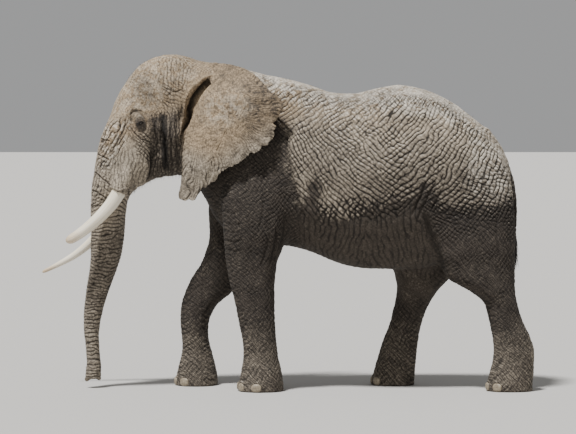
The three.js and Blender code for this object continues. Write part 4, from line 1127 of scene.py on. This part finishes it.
def ivory_material():
    m = Nodes("ivory")
    grain = m.add("ShaderNodeAttribute", attribute_name="grain").outputs["Vector"]
    stripes, cloud = m.noise(1.0, 6.0, 0.65, grain), m.noise(6.0, 4.0, 0.6)
    base = m.ramp(stripes, [(0.28, 0xcdb894), (0.42, 0xefe4cc), (0.66, 0xfcf7ec)])
    for mark, code in ((m.times(cloud, 0.22), 0xe0cfae), (m.stretch(stripes, 0.24, 0.33, 0.75, 0.0), 0x8a6b45),
                       (m.times(m.value("tip"), m.plus(cloud, 0.1)), 0xb08d5c),
                       (m.times(m.value("root"), m.plus(stripes, 0.25)), 0x6e5136)):
        base = m.mix(mark, base, code)
    return m.done(Base_Color=base, Roughness=m.stretch(stripes, 0.0, 1.0, 0.55, 0.32),
                  Normal=m.bump(stripes, 0.35, 0.003))


def eye_material():
    m = Nodes("eye")
    ring = m.value("ring")  # 0 at the middle of the pupil, 1 at the edge of the iris, 2 well into the white
    iris = m.mix(m.noise(900.0, 3.0, 0.6), 0x160a04, 0x4d2c14)
    white = m.mix(m.noise(300.0), 0x1c1410, 0x3d2d24)
    base = m.mix(m.stretch(ring, 0.92, 1.12), iris, white)
    base = m.mix(m.stretch(ring, 0.38, 0.46), 0x050303, base)
    return m.done(Base_Color=base, Roughness=0.06, Coat_Weight=1.0, Coat_Roughness=0.03)


def plain_material(name, dark, light, rough, scale, bump=0.0):
    m = Nodes(name)
    marks = m.noise(scale, 5.0, 0.65)
    m.done(Base_Color=m.ramp(marks, [(0.3, dark), (0.7, light)]), Roughness=rough)
    return m.done(Normal=m.bump(marks, 0.7, bump)) if bump else m.material


body.data.materials.clear()
body.data.materials.append(skin_material())
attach(body, "root")
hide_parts(*FLESH_NODES)


# ------------------------------------------------------------------ tusks, eyes and toenails

def add_piece(name, mesh, node, material):
    """A piece of its own; node is the solid that it replaces, or None."""
    mesh.shade_smooth()
    mesh.materials.append(material)
    ob = object_from(name, mesh)
    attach(ob, "root")
    if node:
        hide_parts(node)


def circle(steps):
    turn = np.linspace(0, 2 * math.pi, steps, endpoint=False)
    return np.cos(turn), np.sin(turn)


def rod(path, radius, sides):
    """Points and faces of a round rod along a path, with a radius at each point of the path."""
    tangent = unit(np.gradient(path, axis=0))
    up = unit(np.cross(tangent, [0.0, 1.0, 0.0]))
    cos, sin = circle(sides)
    ring = cos[:, None] * np.cross(up, tangent)[:, None] + sin[:, None] * up[:, None]
    return (path[:, None] + radius[:, None, None] * ring).reshape(-1, 3), tube_faces(len(path), sides)


# Knots of the middle line; thickness at the root and at the tip, how it falls, and where the tip starts to round.
TUSKS = {
    "tusk_left": ("""
-1600 -235 2310; -1680 -245 2150; -1744 -252 2040; -1826 -264 1913; -1949 -280 1778; -2088 -296 1658
-2195 -303 1582; -2282 -304 1534""", (78, 46, 1.3, 0.93)),
    "tusk_right": ("""
-1590 235 2310; -1660 245 2150; -1720 254 2030; -1830 275 1830; -1960 297 1640; -2097 316 1490
-2245 326 1372; -2403 322 1280; -2590 304 1188""", (70, 16, 1.7, 0.975)),
}
TUSK_STEPS, TUSK_SIDES, TIP_STEPS = 190, 56, 24
GRAIN_ROUND, GRAIN_LONG = 3.2, 420  # the grain is stretched along the tusk
ivory = ivory_material()
even = np.linspace(0, 1, TUSK_STEPS)
for name, (knots, (root, end, fall, start)) in TUSKS.items():
    tip = np.clip(start + (1 - start) * np.sin(np.linspace(0, 1, TIP_STEPS) * math.pi / 2), 0, 1)
    share = np.concatenate([even[even < start], tip])
    line = evenly(smooth_line(rows(knots), 60), TUSK_STEPS)[0]
    path = np.stack([np.interp(share, even, column) for column in line.T], axis=1)
    rounding = np.sqrt(np.maximum(1 - (np.maximum(share - start, 0) / (1 - start)) ** 2, 0.0004))
    points, faces = rod(path, (root + (end - root) * share ** fall) * rounding, TUSK_SIDES)
    along = np.repeat(share, TUSK_SIDES)
    round_it = [np.tile(GRAIN_ROUND * part, len(share)) for part in circle(TUSK_SIDES)]
    length = np.linalg.norm(np.diff(path, axis=0), axis=1).sum()
    grain = np.stack([*round_it, along * length / GRAIN_LONG], axis=1)
    wave = noise(grain * [2.2, 2.2, 0.9], 1.0, 11)
    outward = unit(points - np.repeat(path, TUSK_SIDES, axis=0))
    mesh = mesh_from(name, points + 1.3 * wave[:, None] * outward, faces)
    layer = mesh.attributes.new("grain", "FLOAT_VECTOR", "POINT")
    layer.data.foreach_set("vector", grain.astype(np.float32).ravel())
    attribute(mesh, "root", smooth(0.33, 0.17, along + 0.03 * wave))
    attribute(mesh, "tip", smooth(0.8, 1.0, along + 0.05 * wave))
    add_piece("ivory_" + name, mesh, name, ivory)

# Eyeballs: rings of points round the line of sight, with a bulge in front.
EYE_RINGS, EYE_STEPS, IRIS = 48, 64, 0.50  # IRIS is half its width as an angle from the ball's middle
BULGE, BULGE_WIDTH = 0.07, 0.5
eye_look = eye_material()
bend = np.linspace(0.0, math.pi, EYE_RINGS + 1)
cos, sin = circle(EYE_STEPS)
*faces, first, last = tube_faces(EYE_RINGS - 1, EYE_STEPS)
front_pole, back_pole = (EYE_RINGS - 1) * EYE_STEPS, (EYE_RINGS - 1) * EYE_STEPS + 1
faces += [[front_pole, first[k - 1], first[k]] for k in range(EYE_STEPS)]
faces += [[back_pole, last[k - 1], last[k]] for k in range(EYE_STEPS)]
for name, hand in (("eye_left", -1), ("eye_right", 1)):
    middle = np.mean(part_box(name), axis=0) / MM - SHIFT
    sight = unit(np.array([-0.22, hand, -0.10]))
    aside = unit(np.cross(sight, [0, 0, 1.0]))
    ring = cos[:, None] * aside + sin[:, None] * np.cross(aside, sight)
    reach = EYE_RADIUS * (1 + BULGE * np.exp(-(bend / BULGE_WIDTH) ** 4))[:, None, None]
    ball = middle + reach * (np.cos(bend)[:, None, None] * sight + np.sin(bend)[:, None, None] * ring)
    points = np.vstack([ball[1:-1].reshape(-1, 3), ball[0, :1], ball[-1, :1]])
    mesh = mesh_from(name, points, turned_out(points, faces))
    attribute(mesh, "ring", np.concatenate([np.repeat(bend[1:-1], EYE_STEPS), [0, math.pi]]) / IRIS)
    add_piece("ball_" + name, mesh, name, eye_look)

# Toenails: domed plates with growth ridges, set round the front of each sole.
NAIL_RINGS, NAIL_STEPS, NAIL_LOWEST = 27, 56, 3.0


def blunt(value, power):
    return np.sign(value) * np.abs(value) ** power


nail_material = plain_material("nail", 0x6b5f50, 0xa69a84, 0.5, 45.0, 0.002)
rise_angle = np.linspace(-0.5 * math.pi, 0.5 * math.pi, NAIL_RINGS + 2)[1:-1, None]
cos, sin = circle(NAIL_STEPS)
flat = blunt(np.cos(rise_angle), 0.75)
dome = np.broadcast_arrays(flat * blunt(cos, 0.85), flat * blunt(sin, 0.8), blunt(np.sin(rise_angle), 0.8))
dome = np.stack(dome, axis=-1).reshape(-1, 3) * NAIL_HALF
faces = tube_faces(NAIL_RINGS, NAIL_STEPS)
for foot, middle, half, angles in FEET:
    for number, (place, turn) in enumerate(nail_places(middle, half, angles), 1):
        ridges = 0.9 * np.sin(dome[:, 2] / 2.6 + 1.5 * noise(dome, 40, number)) + 1.6 * noise(dome, 16, number + 5)
        plate = dome.copy()
        plate[:, 0] += ridges * (plate[:, 0] < 0)
        cs, sn = math.cos(turn), math.sin(turn)
        plate = plate @ [[cs, sn, 0], [-sn, cs, 0], [0, 0, 1]] + [*place, NAIL_Z]
        plate[:, 2] = np.maximum(plate[:, 2], NAIL_LOWEST)
        name = "%s_%d" % (foot.replace("foot", "nail"), number)
        add_piece("plate_" + name, mesh_from(name, plate, turned_out(plate, faces)), name, nail_material)


# ------------------------------------------------------------------ hair

HAIR_SIDES = 3
HAIR_PATCH = 0.003  # size of a strand's patch of the map OFBake


def strands(name, roots, ways, bends, lengths, thickness, unwrap, segments):
    """Tapering strands in one mesh; each one's patch of the map OFBake lies at its root's place on the unwrap."""
    t = np.linspace(0, 1, segments + 1)
    reach = lengths[:, None, None]
    lines = roots[:, None] + reach * (ways[:, None] * t[None, :, None] + bends[:, None] * (t ** 2)[None, :, None])
    tangent = unit(np.gradient(lines, axis=1))
    aside = unit(np.cross(tangent, [0.31, 0.83, 0.46]))[:, :, None]
    upright = np.cross(tangent, aside[:, :, 0])[:, :, None]
    width = thickness[:, None] * (1 - 0.9 * t[None] ** 1.5)
    cos, sin = circle(HAIR_SIDES)
    rings = lines[:, :, None] + width[..., None, None] * (cos[:, None] * aside + sin[:, None] * upright)
    index = np.arange(len(roots) * len(t) * HAIR_SIDES).reshape(len(roots), len(t), HAIR_SIDES)
    a, b = index[:, :-1], index[:, 1:]
    quads = np.stack([a, np.roll(a, -1, axis=2), np.roll(b, -1, axis=2), b], axis=-1).reshape(-1, 4)
    caps = np.concatenate([index[:, 0, ::-1], index[:, -1]])
    mesh = mesh_from(name, rings.reshape(-1, 3), quads.tolist() + caps.tolist())
    within = np.stack(np.meshgrid(t, np.arange(HAIR_SIDES) / HAIR_SIDES, indexing="ij")[::-1], axis=-1)
    patch = (unwrap[:, None, None] + HAIR_PATCH * within).reshape(-1, 2)
    corner = read(mesh.loops, "vertex_index", 1, np.int32)[:, 0]
    mesh.uv_layers.new(name="OFBake").data.foreach_set("uv", patch[corner].astype(np.float32).ravel())
    return mesh


def skin_unwrap(p):
    """The skin unrolled round the length of the body."""
    turn = np.arctan2(p[:, 1], p[:, 2] - 2150) / (2 * math.pi) + 0.5
    return 0.02 + 0.95 * np.stack([np.clip((p[:, 0] + 2350) / 5000, 0, 1), turn], axis=1)


# The tail's tuft: wiry hairs in two rows, along its front and back edges, over a thin core.
TUFT_HAIRS, CORE_STEPS, CORE_SIDES = 420, 50, 28
core_share = np.linspace(0, 1, CORE_STEPS)
core_line = evenly(smooth_line(rows("2350 0 1585; 2348 0 1460; 2345 0 1350; 2341 0 1262"), 60), CORE_STEPS)[0]
points, faces = rod(core_line, 29 - 24 * core_share ** 1.2, CORE_SIDES)
core = mesh_from("tail_core", points + 1.2 * noise(points, 9, 4)[:, None], faces)
hair_material = plain_material("hair", 0x100d0b, 0x2e2620, 0.5, 60.0)
add_piece("tail_core", core, "tail_tuft", plain_material("tail_skin", 0x1f1b18, 0x3b342f, 0.8, 50.0, 0.003))
share = RNG.random(TUFT_HAIRS) ** 0.8
row = np.where(RNG.random(TUFT_HAIRS) < 0.5, 0.0, math.pi) + RNG.normal(0, 0.75, TUFT_HAIRS)
out = np.stack([np.cos(row), np.sin(row), np.zeros(TUFT_HAIRS)], axis=1)
axis = np.stack([np.interp(share, core_share, column) for column in core_line.T], axis=1)
roots = axis + out * (24 - 21 * share ** 1.2)[:, None]
ways = unit(0.20 * out + [0, 0, -1] + RNG.normal(0, 0.06, (TUFT_HAIRS, 3)))
bends = -0.12 * out + RNG.normal(0, 0.06, (TUFT_HAIRS, 3))
lowest = 1216 + 150 * RNG.random(TUFT_HAIRS) ** 1.3
lengths = np.minimum(RNG.uniform(110, 250, TUFT_HAIRS), np.maximum(roots[:, 2] - lowest, 30))
mesh = strands("tail_hair", roots, ways, bends, lengths, RNG.uniform(1.3, 2.2, TUFT_HAIRS),
               np.stack([0.02 + 0.9 * share, 0.5 + 0.4 * row / 4], axis=1), 10)
add_piece("tail_hair", mesh, "tail_tuft", hair_material)

# Bristles stand sparsely on the crown, the back, the jaw and the front of the trunk.
BRISTLES = [  # place, number, shortest and longest, the way they lean, where they stand
    ("crown", 900, 14, 28, (0.55, 0, -0.35), (Z > 3150) & (X < -900) & (ear < 0.2)),
    ("back", 1500, 14, 34, (0.55, 0, -0.35), (up > 0.6) & (X > -900) & (Z > 2600)),
    ("jaw", 300, 18, 46, (-0.2, 0, -0.5),
     (X > -1620) & (X < -1100) & (up < -0.35) & (Z > 1950) & (Z < 2350) & (ear < 0.2)),
    ("trunk", 520, 14, 32, (0.55, 0, -0.35), (X < -1450) & (Z < 2250) & (Z > 200) & (N2[:, 0] < -0.3)),
]
bristle_material = plain_material("bristle", 0x1b1613, 0x57493c, 0.6, 40.0)
for name, number, short, long, lie, place in BRISTLES:
    pick = RNG.choice(np.flatnonzero(place & (P[:, 2] > 150)), number, replace=False)
    ways = unit(N2[pick] + lie + RNG.normal(0, 0.28, (number, 3)))
    mesh = strands("bristles_" + name, P[pick] - 2.0 * N2[pick], ways,
                   RNG.normal(0, 0.12, (number, 3)) + [0, 0, -0.12], RNG.uniform(short, long, number),
                   RNG.uniform(0.55, 0.95, number), skin_unwrap(P[pick]), 5)
    add_piece("bristles_" + name, mesh, None, bristle_material)

# Lashes on the upper lids.
LASHES = 46
sets = []
for hand in (-1, 1):
    across_lid = np.linspace(-0.96, 0.96, LASHES) + RNG.normal(0, 0.015, LASHES)
    a = across_lid * LID_HALF
    b = LID_HIGH * np.maximum(1 - across_lid ** 2, 0) ** 0.75 + 1.5
    x = EYE[0] + a * math.cos(TILT) + b * math.sin(TILT)
    z = EYE[2] - a * math.sin(TILT) + b * math.cos(TILT)
    y = hand * (EYE_Y + np.sqrt(np.maximum(LID ** 2 - a * a - b * b, 9.0)) - 1.5)
    ways = across_lid[:, None] * [0.25, 0, 0] + [0, hand, -0.35] + RNG.normal(0, 0.06, (LASHES, 3))
    bends = across_lid[:, None] * [0.1, 0, 0] + [0, -0.25 * hand, -0.25]
    sets.append((np.stack([x, y, z], axis=1), unit(ways), bends))
roots, ways, bends = (np.concatenate(parts) for parts in zip(*sets))
mesh = strands("lashes", roots, ways, bends, RNG.uniform(20, 34, 2 * LASHES), RNG.uniform(0.5, 0.8, 2 * LASHES),
               skin_unwrap(roots), 7)
add_piece("lashes", mesh, None, hair_material)


# ------------------------------------------------------------------ floor, light and camera

FLOOR_HALF, FLOOR_COLOR = 900.0, (0.50, 0.485, 0.46, 1)
SKY_COLOR, SKY_STRENGTH = (0.86, 0.865, 0.87, 1), 0.42
SUN_STRENGTH, SUN_ANGLE, SUN_WAY = 5.7, 0.14, (0.27, 0.33, -0.90)
LENS, SENSOR, SIGHT_LIMIT = 150.24, 36, 2000
CAMERA_PLACE, CAMERA_TIP = (0.02864, -25.0, 2.522), 90 - 1.70  # the tip is from straight down, in degrees

floor = object_from("floor", bpy.data.meshes.new("floor"))
corners = [(FLOOR_HALF * a, FLOOR_HALF * b, 0) for a, b in ((-1, -1), (1, -1), (1, 1), (-1, 1))]
floor.data.from_pydata(corners, [], [(0, 1, 2, 3)])
floor.data.materials.append(Nodes("floor").done(Base_Color=FLOOR_COLOR, Roughness=0.9))
floor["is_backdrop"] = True

world = bpy.data.worlds.new("studio")
bpy.context.scene.world = world
world.use_nodes = True
sky = world.node_tree.nodes["Background"].inputs
sky["Color"].default_value, sky["Strength"].default_value = SKY_COLOR, SKY_STRENGTH

sun = bpy.data.lights.new("key", "SUN")
sun.energy, sun.angle = SUN_STRENGTH, SUN_ANGLE
object_from("key", sun).rotation_euler = Vector(SUN_WAY).to_track_quat("-Z", "Y").to_euler()

camera = bpy.data.cameras.new("camera")
camera.lens, camera.sensor_width, camera.clip_end = LENS, SENSOR, SIGHT_LIMIT
camera_object = object_from("camera", camera)
camera_object.location = CAMERA_PLACE
camera_object.rotation_euler = (math.radians(CAMERA_TIP), 0, 0)
bpy.context.scene.camera = camera_object

low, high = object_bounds()
